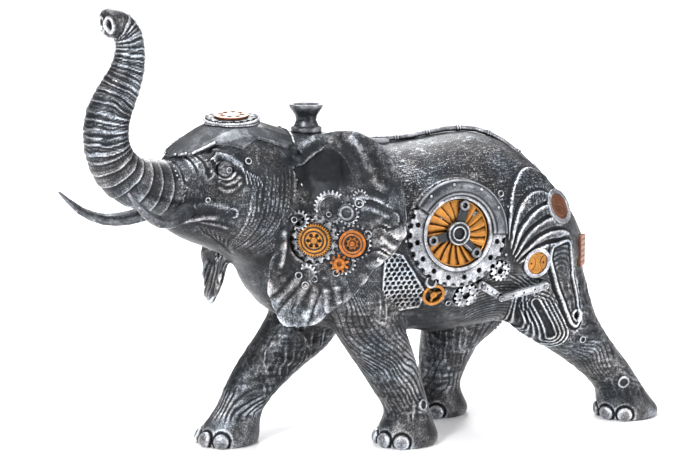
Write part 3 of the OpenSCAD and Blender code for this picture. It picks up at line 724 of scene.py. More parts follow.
def fitting_mask(clay):
    """1 on open skin and 0 where a fitting sits in the casting, so that its seat keeps its edge."""
    mask = np.ones(len(clay.co))
    for name in frame["nodes"]:
        if name in CASTINGS or name in ("link_pins", "eyes"):
            continue
        low, high = (np.array(c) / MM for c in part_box(name))
        for group in ((-1, 1) if name in PAIRED else (0,)):
            lo, hi = low.copy(), high.copy()
            if group:
                middle = (lo[1] + hi[1]) / 2
                co = points_of(name)
                part = co[(co[:, 1] - middle) * group > 0]
                lo, hi = part.min(0), part.max(0)
            away = np.linalg.norm(np.maximum(np.maximum(lo - clay.co, clay.co - hi), 0), axis=1)
            mask = np.minimum(mask, smooth_step(away, 0.8, 4.0))
    for opening in frame["record"]["physics"]["openings"]:
        lo, hi = (np.array(c) / MM for c in opening["box_m"])
        if opening["name"] == "coin_slot":
            away = np.linalg.norm(np.maximum(np.maximum(lo - clay.co, clay.co - hi), 0), axis=1)
            mask = np.minimum(mask, smooth_step(away, 1.0, 4.0))
    return mask


def round_off(clay, shape):
    """Rounds the facets away and melts the castings into each other, without shrinking them."""
    mask = fitting_mask(clay)
    once = clay.spread(clay.co, shape.smoothing, mask)
    twice = clay.spread(once, shape.smoothing, mask)
    clay.co = 2 * once - twice
    seam = np.zeros(len(clay.co))
    crossing = clay.label[clay.a] != clay.label[clay.b]
    seam[clay.a[crossing]] = seam[clay.b[crossing]] = 1.0
    seam = clay.spread(seam, 60)[:, 0]
    seam = smooth_step(seam, 0.004, 0.05) * mask
    clay.co = clay.spread(clay.co, shape.blend, seam)


# ---- Relief ----


# Middle of the trunk, back from the eyes and up from them, from the face to the tip
TRUNK_LINE = (
    (-4, -15), (-26.5, -11.5), (-44.5, -7), (-55.5, 0), (-62.5, 9.5), (-65, 21.5), (-63, 34.5), (-56.5, 46.5),
    (-50.5, 57), (-47.7, 67.5), (-47.8, 76), (-51, 83), (-57, 86.7), (-63.5, 86.5),
)


def sculpt_trunk(clay, strength):
    """Plates low on the trunk, and rings from there to the tip."""
    line = np.array([HEAD.at(b, 0, u) for b, u in curve(TRUNK_LINE, 6)])
    index, _, place = clay.measure(line, 30.0, ("trunk",))
    co = clay.co[index]
    along = place * np.linalg.norm(np.diff(line, axis=0), axis=1).sum()
    bend = noise(co, 14.0, 3) * 1.1 + noise(co, 5.0, 4) * 0.4
    s = along + bend
    rings = np.zeros(len(index))
    edges, at = [], 17.0
    widths = (8.5, 8.0, 7.5, 9.0, 7.0, 6.0)
    for k in range(60):
        edges.append(at)
        at += widths[k] if k < len(widths) else (3.6, 5.2, 2.8, 4.2, 3.2)[k % 5]
    for k, (e0, e1) in enumerate(zip(edges, edges[1:])):
        t = np.clip((s - e0) / (e1 - e0), 0, 1)
        inside = (s >= e0) & (s < e1)
        depth = 0.95 if k < len(widths) else (0.6, 0.85, 0.5, 0.9, 0.55)[k % 5]
        rings += inside * depth * (1 - t) ** 1.2 * smooth_step(t, 0.0, 0.16)
    fade = 1 - smooth_step(along, along.max() - 10, along.max() - 4)
    clay.relief[index] += strength * (rings - 0.4) * fade * smooth_step(along, 12, 18)
    fine = np.sin(s * 2 * np.pi / 1.9 + noise(co, 6.0, 5) * 2)
    middle = smooth_step(along, 60, 80)
    clay.relief[index] += strength * 0.16 * fine * middle * fade
    tip = clay.near(line[-1:], 16.0, ("trunk",))
    d = clay.co[tip] - line[-1]
    facing = smooth_step(clay.normals()[tip] @ -HEAD.back, 0.05, 0.45)
    for side in (-1, 1):
        pit = np.hypot(d @ HEAD.across - side * 3.7, (d[:, 2] + 0.4) * 0.85)
        hole = -4.2 * (1 - smooth_step(pit, 1.2, 3.0)) + 0.9 * np.exp(-(((pit - 3.6) / 0.8) ** 2))
        clay.relief[tip] += strength * hole * facing


def paint_mask(clay, names):
    return np.isin(clay.label, [CASTINGS.index(n) for n in names])


def leg_grain(clay, strength):
    """Flowing lines like wood grain down the legs, with a few knots."""
    for number, name in enumerate(LEGS):
        index = np.flatnonzero(paint_mask(clay, (name,)))
        co = clay.co[index]
        cad = points_of(name)
        levels = np.linspace(0, cad[:, 2].max(), 12)
        middles = []
        for z in levels:
            ring = cad[np.abs(cad[:, 2] - z) < 9]
            middles.append((ring.min(0) + ring.max(0)) / 2 if len(ring) else middles[-1])
        middles = np.array(middles)
        cx = np.interp(co[:, 2], levels, middles[:, 0])
        cy = np.interp(co[:, 2], levels, middles[:, 1])
        angle = np.arctan2(co[:, 1] - cy, co[:, 0] - cx)
        warp = 2.6 * noise(co, 30.0, 11 + number) + 0.8 * noise(co, 10.0, 17 + number)
        sweep = 0.10 if name == "front_left_leg" else 0.03
        phase = angle / (2 * np.pi) * 27 + warp + sweep * co[:, 2]
        lines = np.abs(np.sin(np.pi * phase)) ** 0.5
        patch = 0.1 + 0.9 * smooth_step(noise(co, 18.0, 23 + number), -0.3, 0.25)
        shin = 1 - smooth_step(co[:, 2], 50, 66)
        foot = smooth_step(co[:, 2], 14, 20)
        fade = 1 - smooth_step(co[:, 2], 92, 118)
        share = (0.5 + 0.5 * shin if "front" in name else 0.45) * foot * fade
        clay.relief[index] += strength * 0.95 * (lines - 0.72) * patch * share
        bark = 0.5 - np.abs(noise(co * np.array([1, 1, 0.45]), 4.2, 31 + number, 2))
        crease = noise(co * np.array([1, 1, 3.2]), 7.0, 37 + number, 2)
        clay.relief[index] += strength * (0.75 * (bark - 0.3) * (1.2 - patch) + 0.3 * crease) * foot * fade


def toes(clay, strength):
    """Three round nails across the front of each foot, and a ledge over the sole."""
    for name in LEGS:
        cad = points_of(name)
        sole = cad[cad[:, 2] < 8]
        middle = (sole.min(0) + sole.max(0)) / 2
        half = (sole.max(0) - sole.min(0)) / 2
        for turn in (-58, -20, 20, 58):
            a = math.radians(180 + turn)
            at = middle + np.array([half[0] * math.cos(a), half[1] * math.sin(a), 0]) * 1.0
            at[2] = 4.6
            index = clay.near(at[None], 12.0, (name,))
            d = clay.co[index] - at
            side = np.array([-math.sin(a), math.cos(a), 0])
            r = np.sqrt((d @ side / 5.2) ** 2 + (d[:, 2] / 4.9) ** 2)
            front = (d @ np.array([math.cos(a), math.sin(a), 0])) > -7
            nail = np.clip(1 - r**2, 0, None) ** 0.45 * 1.6 - 1.3 * np.exp(-(((r - 1.12) / 0.16) ** 2))
            clay.relief[index] += strength * nail * front * (r < 1.6)


def eye_relief(clay, strength):
    """Brow, lids and the bag under each eye."""
    for side in SIDES:
        brow = [(-9.5, -1.5), (-7, 4.2), (-1.5, 7.6), (5, 5.2), (9.5, 0.8), (12.5, -1)]
        clay.stroke(face_line(curve(brow), side), 3.6, 1.9 * strength, ("head",))
        lid = [(-7.4, -0.6), (-3.4, 3.9), (1.8, 4.4), (6.4, 0.6)]
        clay.stroke(face_line(curve(lid), side), 1.2, 1.0 * strength, ("head",))
        lower = [(-7.4, -0.6), (-3.6, -4.8), (1.8, -5.2), (6.6, -1.0)]
        clay.stroke(face_line(curve(lower), side), 1.3, 1.1 * strength, ("head",))
        for drop in (8.4, 12.4):
            bag = [(-6.5, -drop + 3.4), (-1, -drop), (5, -drop + 1.6), (9, -drop + 6)]
            clay.stroke(face_line(curve(bag), side), 1.8, 0.6 * strength, ("head",))
        hollow = [(-8.5, 1.8), (-9.8, -1.4), (-8.4, -4.4)]
        clay.stroke(face_line(curve(hollow), side), 2.0, -1.5 * strength, ("head",))
        groove = [(-6.5, 5.4), (-1.4, 9.6), (5.5, 7.6)]
        groove = [(b, u + 3.4) for b, u in groove]
        clay.stroke(face_line(curve(groove), side), 1.8, -0.8 * strength, ("head",))


def face_folds(clay, strength):
    """Mouth, jaw, and the hanging folds of the cheek and neck."""
    for number, side in enumerate(SIDES):
        rng = np.random.default_rng(7 + number)
        lip = [(-27, -26.5), (-20, -24.5), (-12, -22.8), (-4, -24.5), (1.5, -27.5), (3.2, -30)]
        clay.stroke(face_line(curve(lip), side), 1.6, -2.3 * strength, ("head",))
        clay.stroke(face_line(curve(lip[:3]), side), 3.0, -3.8 * strength, ("head",))
        under = [(-27, -30.5), (-21, -29.6), (-14, -28.2), (-8, -28.0), (-3, -29.5)]
        clay.stroke(face_line(curve(under), side), 2.6, 1.7 * strength, ("head",))
        clay.stroke(face_line(curve([(b, u + 3.3) for b, u in lip]), side), 2.6, 0.8 * strength, ("head",))
        chin = [(-20, -28), (-12, -30.5), (-4, -33), (4, -36)]
        clay.stroke(face_line(curve(chin), side), 1.7, 1.0 * strength, ("head",))
        curl = [(-1.5, -26.6), (1.6, -23.4), (5.2, -24.4), (5.6, -27.8), (2.6, -29)]
        clay.stroke(face_line(curve(curl, 5), side), 1.2, 0.6 * strength, ("head",))
        for k in range(13):
            x = 14.0 + 3.0 * k
            wave = rng.uniform(-0.8, 0.8, 4)
            top = -6 - 0.30 * abs(k - 6) + rng.uniform(-1.5, 1.5)
            line = [
                (x + 3.4 + wave[0], top + 6), (x + 0.8 + wave[1], top - 8), (x - 0.6 - 0.16 * k, top - 22),
                (x - 5.0 - 0.42 * k + wave[2], top - 35), (x - 11 - 0.75 * k + wave[3], top - 47),
            ]
            names = ("head", "torso_shell")
            clay.stroke(face_line(curve(line), side, names), 1.35, 1.1 * strength, names)
            line = [(b + 1.5, u) for b, u in line]
            clay.stroke(face_line(curve(line), side, names), 1.1, -0.9 * strength, names)
        for k in range(5):
            line = [(9 + 2.3 * k, 1 - 1.4 * k), (11 + 2.4 * k, -4 - 1.2 * k), (12 + 2.3 * k, -10 - 0.5 * k)]
            clay.stroke(face_line(curve(line), side), 0.8, 0.8 * strength, ("head",))
        for k in range(7):
            line = [
                (-14 + 3.2 * k, -33 - 1.6 * k), (-9 + 3.0 * k, -38 - 1.9 * k), (-1 + 2.8 * k, -43 - 2.0 * k),
            ]
            clay.stroke(face_line(curve(line), side), 0.9, -0.5 * strength, ("head",))
        for b, u0, u1 in ((-25.5, 9.5, -9), (-18.5, 8.5, -2), (-13.5, 8, 1)):
            seam = [(b, u0), (b + 1.8, (u0 + u1) / 2), (b + 2.4, u1)]
            clay.stroke(face_line(curve(seam), side, ("head", "trunk")), 0.9, 0.75 * strength)
            seam = [(p + 1.2, q) for p, q in seam]
            clay.stroke(face_line(curve(seam), side, ("head", "trunk")), 0.9, -0.9 * strength)


HOLLOW = (3.0, 41.0, 21.0, 17.0)  # hollow of the ear: middle back and up from the big ear gear, half sizes


def hollow_reach(back, up):
    """0 in the middle of the ear's hollow and 1 at its edge."""
    return np.hypot((back - HOLLOW[0]) / HOLLOW[2], (up - HOLLOW[1]) / HOLLOW[3])


def ear_relief(clay, strength):
    """The hollow behind the cheek, the rolled edge, the slits and the wavy lobe of each ear."""
    for number, side in enumerate(SIDES):
        names = (f"{side}_ear",)
        disc = EAR[side]
        index = np.flatnonzero(paint_mask(clay, names))
        co = clay.co[index]
        back = (co - disc.centre) @ disc.back
        up = (co - disc.centre) @ disc.up
        r = hollow_reach(back, up)
        front = smooth_step((clay.normals()[index]) @ disc.out, 0.1, 0.5)
        clay.relief[index] -= strength * 3.2 * (1 - smooth_step(r, 0.3, 1.0)) * front
        clay.relief[index] += strength * 0.35 * np.exp(-(((r - 1.15) / 0.16) ** 2)) * front
        for ridge, width, height in (
            (((2, 68), (16, 66), (27, 57), (33, 46), (38, 36), (46, 30)), 5.5, 2.3),
            (((-20, 22), (-19, 38), (-12, 52), (0, 62)), 4.0, 1.6),
            (((-19, 18), (-17, 0), (-20, -18)), 3.0, 1.5),
        ):
            clay.stroke(ear_line(curve(ridge), side), width, height * strength, names)
        fan = np.arctan2(up + 2, back - 4)
        reach = np.hypot(up + 2, back - 4)
        ripple = np.sin(fan * 15 + 1.8 * noise(co, 17.0, 41 + number)) * smooth_step(reach, 24, 48)
        low = smooth_step(-up, -6, 24) + smooth_step(back, 22, 40) * smooth_step(-up, -34, 0)
        clay.relief[index] += strength * 1.5 * ripple * np.clip(low, 0, 1) * front
        for line in (
            [(23, 27), (30, 29.5), (38, 28), (42, 25)], [(26, 22), (33, 22.5), (41, 19.5), (46, 16.5)],
            [(39, 6), (44, 2), (49, -2)], [(37, -8), (43, -12), (47, -14)],
        ):
            clay.stroke(ear_line(curve(line), side), 1.3, -1.8 * strength, names)
            clay.stroke(ear_line(curve([(b, u - 3.2) for b, u in line]), side), 2.4, 0.9 * strength, names)
        for k in range(5):
            a = -1.35 - 0.24 * k
            line = [(8 + s * math.cos(a), -4 + s * math.sin(a)) for s in (24, 32, 40, 47)]
            clay.stroke(ear_line(curve(line), side), 3.2, 1.0 * strength, names)
        clay.relief[index] += strength * 0.35 * noise(co, 4.0, 51 + number, 2)


def flank_plane(co, side):
    """Coordinates back from the wheel and up from it."""
    wheel = WHEEL[side].centre
    return co[:, 0] - wheel[0], co[:, 2] - wheel[2]


def edge_distance(outline, x, y):
    """Distance from a closed outline, negative inside it."""
    p = np.asarray(outline, float)
    q = np.roll(p, -1, axis=0)
    best, inside = np.full(len(x), 1e9), np.zeros(len(x), bool)
    for (ax, ay), (bx, by) in zip(p, q):
        dx, dy = bx - ax, by - ay
        t = np.clip(((x - ax) * dx + (y - ay) * dy) / max(dx * dx + dy * dy, 1e-9), 0, 1)
        best = np.minimum(best, np.hypot(x - ax - t * dx, y - ay - t * dy))
        if dy:
            inside ^= ((ay > y) != (by > y)) & (x < ax + (y - ay) * dx / dy)
    return np.where(inside, -best, best)


# Haunch fins, back from the wheel and up from it; each covers what lies right of its line
FINS = (
    ((37, -19), (35.5, 0), (38, 18), (45, 30), (55, 34.5), (66, 31), (76, 24)),
    ((37.5, -20), (38, -3), (43, 11), (52, 19.5), (62, 20.5), (70, 17)),
    ((38, -21), (41, -7), (48, 4), (58, 10.5), (68, 12), (76, 9)),
    ((39, -22), (44, -11), (52, -2), (62, 3.0), (72, 4.5), (80, 1)),
    ((40, -22.5), (47, -14.5), (56, -8), (66, -4.5), (76, -4.5), (84, -8)),
    ((42, -23), (50, -17.5), (59, -13), (69, -11.5), (79, -13), (86, -17)),
)
FIN_FIELD = ((36, -26), (33, 2), (38, 22), (46, 34), (56, 38), (78, 28), (92, -12), (88, -20))
THIGH_PLATE = (
    (66.5, -12.5), (82, -10.5), (86, -22), (90, -40), (91.5, -52.3), (91.8, -62.5), (88.5, -68.5),
    (84, -66.5), (81, -61), (74, -41), (65.7, -23.3),
)
THIGH_HOLE = (88.4, -61.0)
THIGH_LOOPS = (((49.3, -47.6), (53.8, -68.1), 1.6, 2), ((61.3, -50.8), (72.4, -72.7), 2.0, 4))
LOOP_PITCH = 2.5
THREAD_FIELD = ((38, -30), (48, -32), (60, -36), (70, -46), (74, -52), (60, -46), (48, -42))
THREAD_PITCH = 2.6
COMB_FIELD = ((-47, -8), (-36, -12), (-28, -24), (-20, -36), (-22, -46), (-38, -48), (-47, -38))
COMB_PITCH = 3.4


def to_segment(x, z, start, end):
    """Share of the way along a segment, and distance from it, for each point."""
    (ax, az), (bx, bz) = start, end
    dx, dz = bx - ax, bz - az
    t = np.clip(((x - ax) * dx + (z - az) * dz) / (dx * dx + dz * dz), 0, 1)
    return t, np.hypot(x - ax - t * dx, z - az - t * dz)


def flank_relief(clay, strength):
    """Fins of the haunch, thigh plate and loops, and the honeycomb behind the wheel."""
    for number, side in enumerate(SIDES):
        names = ("torso_shell", f"rear_{side}_leg")
        index = np.flatnonzero(paint_mask(clay, names) & (clay.co[:, 1] * SIDES[side] > 0))
        x, z = flank_plane(clay.co[index], side)
        near = (x > 28) & (x < 100) & (z > -95) & (z < 42)
        index, x, z = index[near], x[near], z[near]
        lift = np.zeros(len(index))
        fan = edge_distance(FIN_FIELD, x, z)
        for fin in FINS:
            line = np.asarray(curve(fin, 7))
            best, sign, place = np.full(len(x), 1e9), np.ones(len(x)), np.zeros(len(x))
            for n, ((ax, az), (bx, bz)) in enumerate(zip(line, line[1:])):
                t, d = to_segment(x, z, (ax, az), (bx, bz))
                nearer = d < best
                best[nearer], place[nearer] = d[nearer], (n + t[nearer]) / len(line)
                sign[nearer] = np.sign((bx - ax) * (z - az) - (bz - az) * (x - ax))[nearer]
            below = sign < 0
            wide = 2.0 + 4.6 * smooth_step(place, 0.05, 0.55)
            blade = np.where(below, np.exp(-((best / wide) ** 1.3)), 1 - smooth_step(best, 0.0, 1.0))
            blade *= 2.0 * smooth_step(place, 0.0, 0.12) * (1 - smooth_step(place, 0.9, 1.0))
            trench = -1.3 * np.exp(-(((best - 1.7) / 0.9) ** 2)) * ~below * (1 - smooth_step(place, 0.8, 1.0))
            lift = np.maximum(lift + trench * smooth_step(place, 0.02, 0.1), blade)
        lift *= 1 - smooth_step(fan, -0.5, 2.5)
        plate = edge_distance(curve(THIGH_PLATE + THIGH_PLATE[:1], 5), x, z)
        over = 1 - smooth_step(plate, -0.6, 0.5)
        slab = 1.5 + 0.7 * np.exp(-(((plate + 1.3) / 0.6) ** 2))
        slab -= 0.9 * np.exp(-(((plate + 3.0) / 0.6) ** 2))
        hole = np.hypot(x - THIGH_HOLE[0], z - THIGH_HOLE[1])
        slab += 1.1 * np.exp(-(((hole - 3.3) / 0.7) ** 2)) - 2.2 * (1 - smooth_step(hole, 1.7, 2.4))
        arcs = np.abs(np.sin((np.hypot(x - 75, z + 30) - 2) * np.pi / 3.1)) ** 0.5
        slab -= 0.7 * (1 - arcs) * smooth_step(z, -36, -26) * (plate < -2.4)
        lift = np.where(over > 0, np.maximum(lift * (1 - over), 0) + slab * over, lift)
        lift -= 1.1 * np.exp(-(((plate - 1.2) / 0.7) ** 2))
        free = smooth_step(plate, 1.0, 2.2)
        for start, end, slot, rings in THIGH_LOOPS:
            d = to_segment(x, z, start, end)[1]
            wave = np.cos((d - slot - 0.9) * 2 * np.pi / LOOP_PITCH)
            rim = slot + LOOP_PITCH * rings
            ringed = smooth_step(d, slot - 0.5, slot + 0.1) * (1 - smooth_step(d, rim - 0.9, rim))
            top = 1 - smooth_step(z, start[1] - 1, start[1] + 5)
            lift += (0.75 * wave * ringed - 1.1 * (1 - smooth_step(d, slot - 0.6, slot))) * free * top
        drift = 1.6 * noise(clay.co[index], 14, 71 + number)
        thread = np.sin((z + 0.55 * x + drift) * 2 * np.pi / THREAD_PITCH)
        under = edge_distance(THREAD_FIELD, x, z)
        lift += 0.35 * thread * (1 - smooth_step(under, -1, 2)) * free
        clay.relief[index] += strength * lift
        index = np.flatnonzero(paint_mask(clay, ("torso_shell",)) & (clay.co[:, 1] * SIDES[side] > 0))
        x, z = flank_plane(clay.co[index], side)
        region = edge_distance(COMB_FIELD, x, z)
        near = region < 1
        index, x, z, region = index[near], x[near], z[near], region[near]
        row = np.round(z / (COMB_PITCH * 0.866))
        odd = 0.5 * (row % 2)
        cell = np.hypot(x - COMB_PITCH * (np.round(x / COMB_PITCH - odd) + odd), z - row * COMB_PITCH * 0.866)
        pit = (1 - smooth_step(cell, 0.85, 1.35)) * (1 - smooth_step(region, -1.2, 0.0))
        rim = 1.0 * np.exp(-(((region + 0.3) / 0.8) ** 2))
        clay.relief[index] += strength * (rim - 1.3 * pit)


def hide_wrinkles(clay, strength):
    """Low wrinkles over the shoulders, the belly and the flank, and the small creases of all skin."""
    index = np.flatnonzero(paint_mask(clay, ("torso_shell", "head", "tail")))
    co = clay.co[index]
    fine = noise(co, 2.6, 61, 2)
    broad = noise(co * np.array([1.0, 0.7, 2.0]), 9.0, 63, 2)
    low = 1 - smooth_step(co[:, 2], 96, 116)
    clay.relief[index] += strength * (0.12 * fine + 0.22 * broad + low * 0.25 * broad)
    wheel = WHEEL["left"].centre
    bulge = np.hypot(co[:, 0] - wheel[0] - 34, (co[:, 2] - wheel[2] + 66) * 1.5)
    belly = np.abs(np.sin(bulge * np.pi / 3.0 + noise(co, 12.0, 67))) ** 0.6
    share = low * smooth_step(co[:, 0], wheel[0] + 2, wheel[0] + 30)
    clay.relief[index] += strength * 0.5 * (belly - 0.7) * share


def sculpt(clay, strength):
    """All relief, coarse to fine."""
    for work in (eye_relief, face_folds, ear_relief, flank_relief, sculpt_trunk, leg_grain, toes,
                 hide_wrinkles):
        before = clay.relief.copy()
        clay.relief[:] = 0
        work(clay, strength)
        clay.relief += before
    clay.settle()


def place_tone_and_shade(clay):
    """How much brighter or darker whole places are: bright ear lobes, painted shade in the hollows of the
    ears, and random tone on the legs, the trunk and the body.
    """
    change = np.zeros(len(clay.co))
    for number, side in enumerate(SIDES):
        index = np.flatnonzero(paint_mask(clay, (f"{side}_ear",)))
        disc = EAR[side]
        back = (clay.co[index] - disc.centre) @ disc.back
        up = (clay.co[index] - disc.centre) @ disc.up
        smear = noise(clay.co[index], 15.0, 81 + number, 2)
        lobe = smooth_step(-up, 8, 34) + smooth_step(back, 30, 46) * smooth_step(-up, -30, 4)
        shade_in = 1 - smooth_step(hollow_reach(back, up), 0.6, 1.15)
        # The hollow of each ear is painted darker: painted shade.
        change[index] += (0.13 + 0.10 * smear) * np.clip(lobe, 0, 1) - 0.20 * shade_in
    legs = np.flatnonzero(paint_mask(clay, LEGS))
    streak = noise(clay.co[legs] * np.array([1, 1, 0.5]), 16.0, 91, 2)
    change[legs] += 0.05 + 0.10 * streak
    trunk = np.flatnonzero(paint_mask(clay, ("trunk",)))
    change[trunk] += 0.05 + 0.10 * noise(clay.co[trunk], 16.0, 93, 2)
    body = np.flatnonzero(paint_mask(clay, ("torso_shell", "head")))
    change[body] += 0.09 * noise(clay.co[body], 24.0, 95, 2)
    return change


def paint_attributes(clay):
    """Tone, from black in the hollows to bare on the ridges, with painted shade in the ear hollows, and where
    the hide is scratched.
    """
    crest = np.zeros(len(clay.co))
    normals = clay.normals()
    for times, gain in ((2, 0.9), (9, 0.34), (40, 0.10)):
        mean = clay.spread(clay.co, times)
        crest += gain * ((clay.co - mean) * normals).sum(1) / math.sqrt(times)
    worked = clay.tone - clay.spread(clay.tone, 16)[:, 0]
    tone = 0.47 + 1.9 * crest + 0.26 * worked
    torso = np.isin(clay.label, [CASTINGS.index("torso_shell"), CASTINGS.index("head")])
    torso_only = clay.label == CASTINGS.index("torso_shell")
    high = smooth_step(clay.co[:, 2], 125, 160) * np.where(torso_only, 1.0, 0.3)
    hatch = clay.spread((torso * high).astype(float), 12)[:, 0]
    tone = 0.44 + 0.52 * np.tanh((tone - 0.47) / 0.42) + place_tone_and_shade(clay)
    return np.clip(tone, 0, 1), hatch


def split_mesh(clay, keep, attributes, name, mesh_name):
    """The faces of one casting as a mesh that keeps the whole skin's normals."""
    normals = clay.normals()
    votes = clay.label[clay.quads]
    faces = clay.quads[keep & (votes[:, 0] == CASTINGS.index(name))]
    used, local = np.unique(faces, return_inverse=True)
    mesh = bpy.data.meshes.new(mesh_name)
    local = local.reshape(-1, 4)
    mesh.vertices.add(len(used))
    mesh.vertices.foreach_set("co", (clay.co[used] * MM).ravel())
    mesh.loops.add(local.size)
    mesh.loops.foreach_set("vertex_index", local.ravel())
    mesh.polygons.add(len(local))
    mesh.polygons.foreach_set("loop_start", np.arange(0, local.size, 4))
    mesh.update(calc_edges=True)
    mesh.validate()
    mesh.shade_smooth()
    mesh.normals_split_custom_set_from_vertices(normals[used].tolist())
    for key, values in attributes.items():
        mesh.attributes.new(key, "FLOAT", "POINT").data.foreach_set("value", values[used].astype(np.float32))
    return mesh


def pocket_bottoms(clay, core):
    """True for faces to keep: all but those on the core, where slot and hole open into the chamber."""
    middle = clay.co[clay.quads].mean(1)
    keep = np.ones(len(middle), bool)
    boxes = []
    for opening in frame["record"]["physics"]["openings"]:
        lo, hi = (np.array(c) / MM for c in opening["box_m"])
        if opening["name"] == "coin_slot":
            boxes.append((lo - (2, 3, 16), hi + (2, 3, 0)))
    lo, hi = (np.array(c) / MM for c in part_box("belly_stopper"))
    boxes.append((lo - 1, hi + (1, 1, 6)))
    for lo, hi in boxes:
        for k in np.flatnonzero(np.all((middle > lo) & (middle < hi), axis=1)):
            if core.find_nearest(Vector(middle[k]))[3] < 1.3:
                keep[k] = False
    return keep


class ELEPHANT_OT_casting(bpy.types.Operator):
    """Sculpts the casting: one skin over all cast nodes, with its folds, plates and grain"""

    bl_idname = "elephant.casting"
    bl_label = "Casting"

    def execute(self, context):
        shape = context.scene.elephant_shape
        grid = shape.grid * 1.0
        skin, core, lining_co, lining_faces = raw_casting(grid)
        clay = Clay(skin)
        label_points(clay)
        round_off(clay, shape)
        sculpt(clay, shape.relief)
        keep = pocket_bottoms(clay, core)
        tone, hatch = paint_attributes(clay)
        attributes = {"tone": tone, "hatch": hatch}
        low, high = (np.array(c) / MM for c in CAD_BOX)
        clay.co = np.clip(clay.co, low, high)
        for name in CASTINGS:
            mesh = split_mesh(clay, keep, attributes, name, name + "_skin")
            piece = bpy.data.objects.new(name + "_skin", mesh)
            context.scene.collection.objects.link(piece)
            finish_piece(piece, finishes()["cast"], False, (name,))
        lining = mesh_object("chamber_lining", lining_co, lining_faces)
        finish_piece(lining, finishes()["cast"])
        return {"FINISHED"}


# ---- Clockwork and fittings ----

NODE_FINISH = {
    "dark": ("skull_gear",),
    "bright": (
        "left_crank_link", "right_crank_link", "left_rod_link", "right_rod_link", "hip_rings", "rump_rings",
        "left_ring_gear", "right_ring_gear",
    ),
    "silver": (
        "spine_pipe", "left_idler_gear", "right_idler_gear", "left_lower_gear", "right_lower_gear",
        "left_ear_plate", "right_ear_plate", "left_guard_arch", "right_guard_arch",
    ),
    "gunmetal": (
        "left_spider", "right_spider", "left_tusk", "right_tusk", "eyes", "skull_plate", "chimney",
        "pipe_front_clamp", "pipe_rear_cap", "link_pins", "ear_dials",
    ),
    "brass": (
        "left_fan", "right_fan", "left_brass_hoop", "right_brass_hoop", "hip_inserts", "left_crown_wheel",
        "right_crown_wheel",
    ),
    "orange": ("left_sun_pinion", "right_sun_pinion", "left_spoked_wheel", "right_spoked_wheel"),
    "copper": ("skull_rosette", "rump_inserts", "rump_grilles"),
    "rubber": ("belly_stopper",),
}
SMOOTH_NODES = ("left_tusk", "right_tusk", "eyes", "skull_plate", "spine_pipe")


class ELEPHANT_OT_clockwork(bpy.types.Operator):
    """Rounds the edges of the CAD clockwork and fittings, and paints them"""

    bl_idname = "elephant.clockwork"
    bl_label = "Clockwork"

    def execute(self, context):
        for finish, names in NODE_FINISH.items():
            for name in names:
                node = frame["nodes"][name]
                node.data.materials.clear()
                node.data.materials.append(finishes()[finish])
                weld = node.modifiers.new("weld", "WELD")
                weld.merge_threshold = 0.01 * MM
                if name in SMOOTH_NODES:
                    remesh = node.modifiers.new("even", "REMESH")
                    remesh.mode = "VOXEL"
                    remesh.voxel_size = 0.45 * MM
                    remesh.use_smooth_shade = True
                    soften = node.modifiers.new("soften", "SMOOTH")
                    soften.factor = 0.5
                    soften.iterations = 12
                    continue
                bevel = node.modifiers.new("edges", "BEVEL")
                bevel.width = 0.28 * MM
                bevel.segments = 2
                bevel.limit_method = "ANGLE"
                bevel.angle_limit = math.radians(35)
                bevel.harden_normals = False
        return {"FINISHED"}


# ---- Small crisp pieces ----


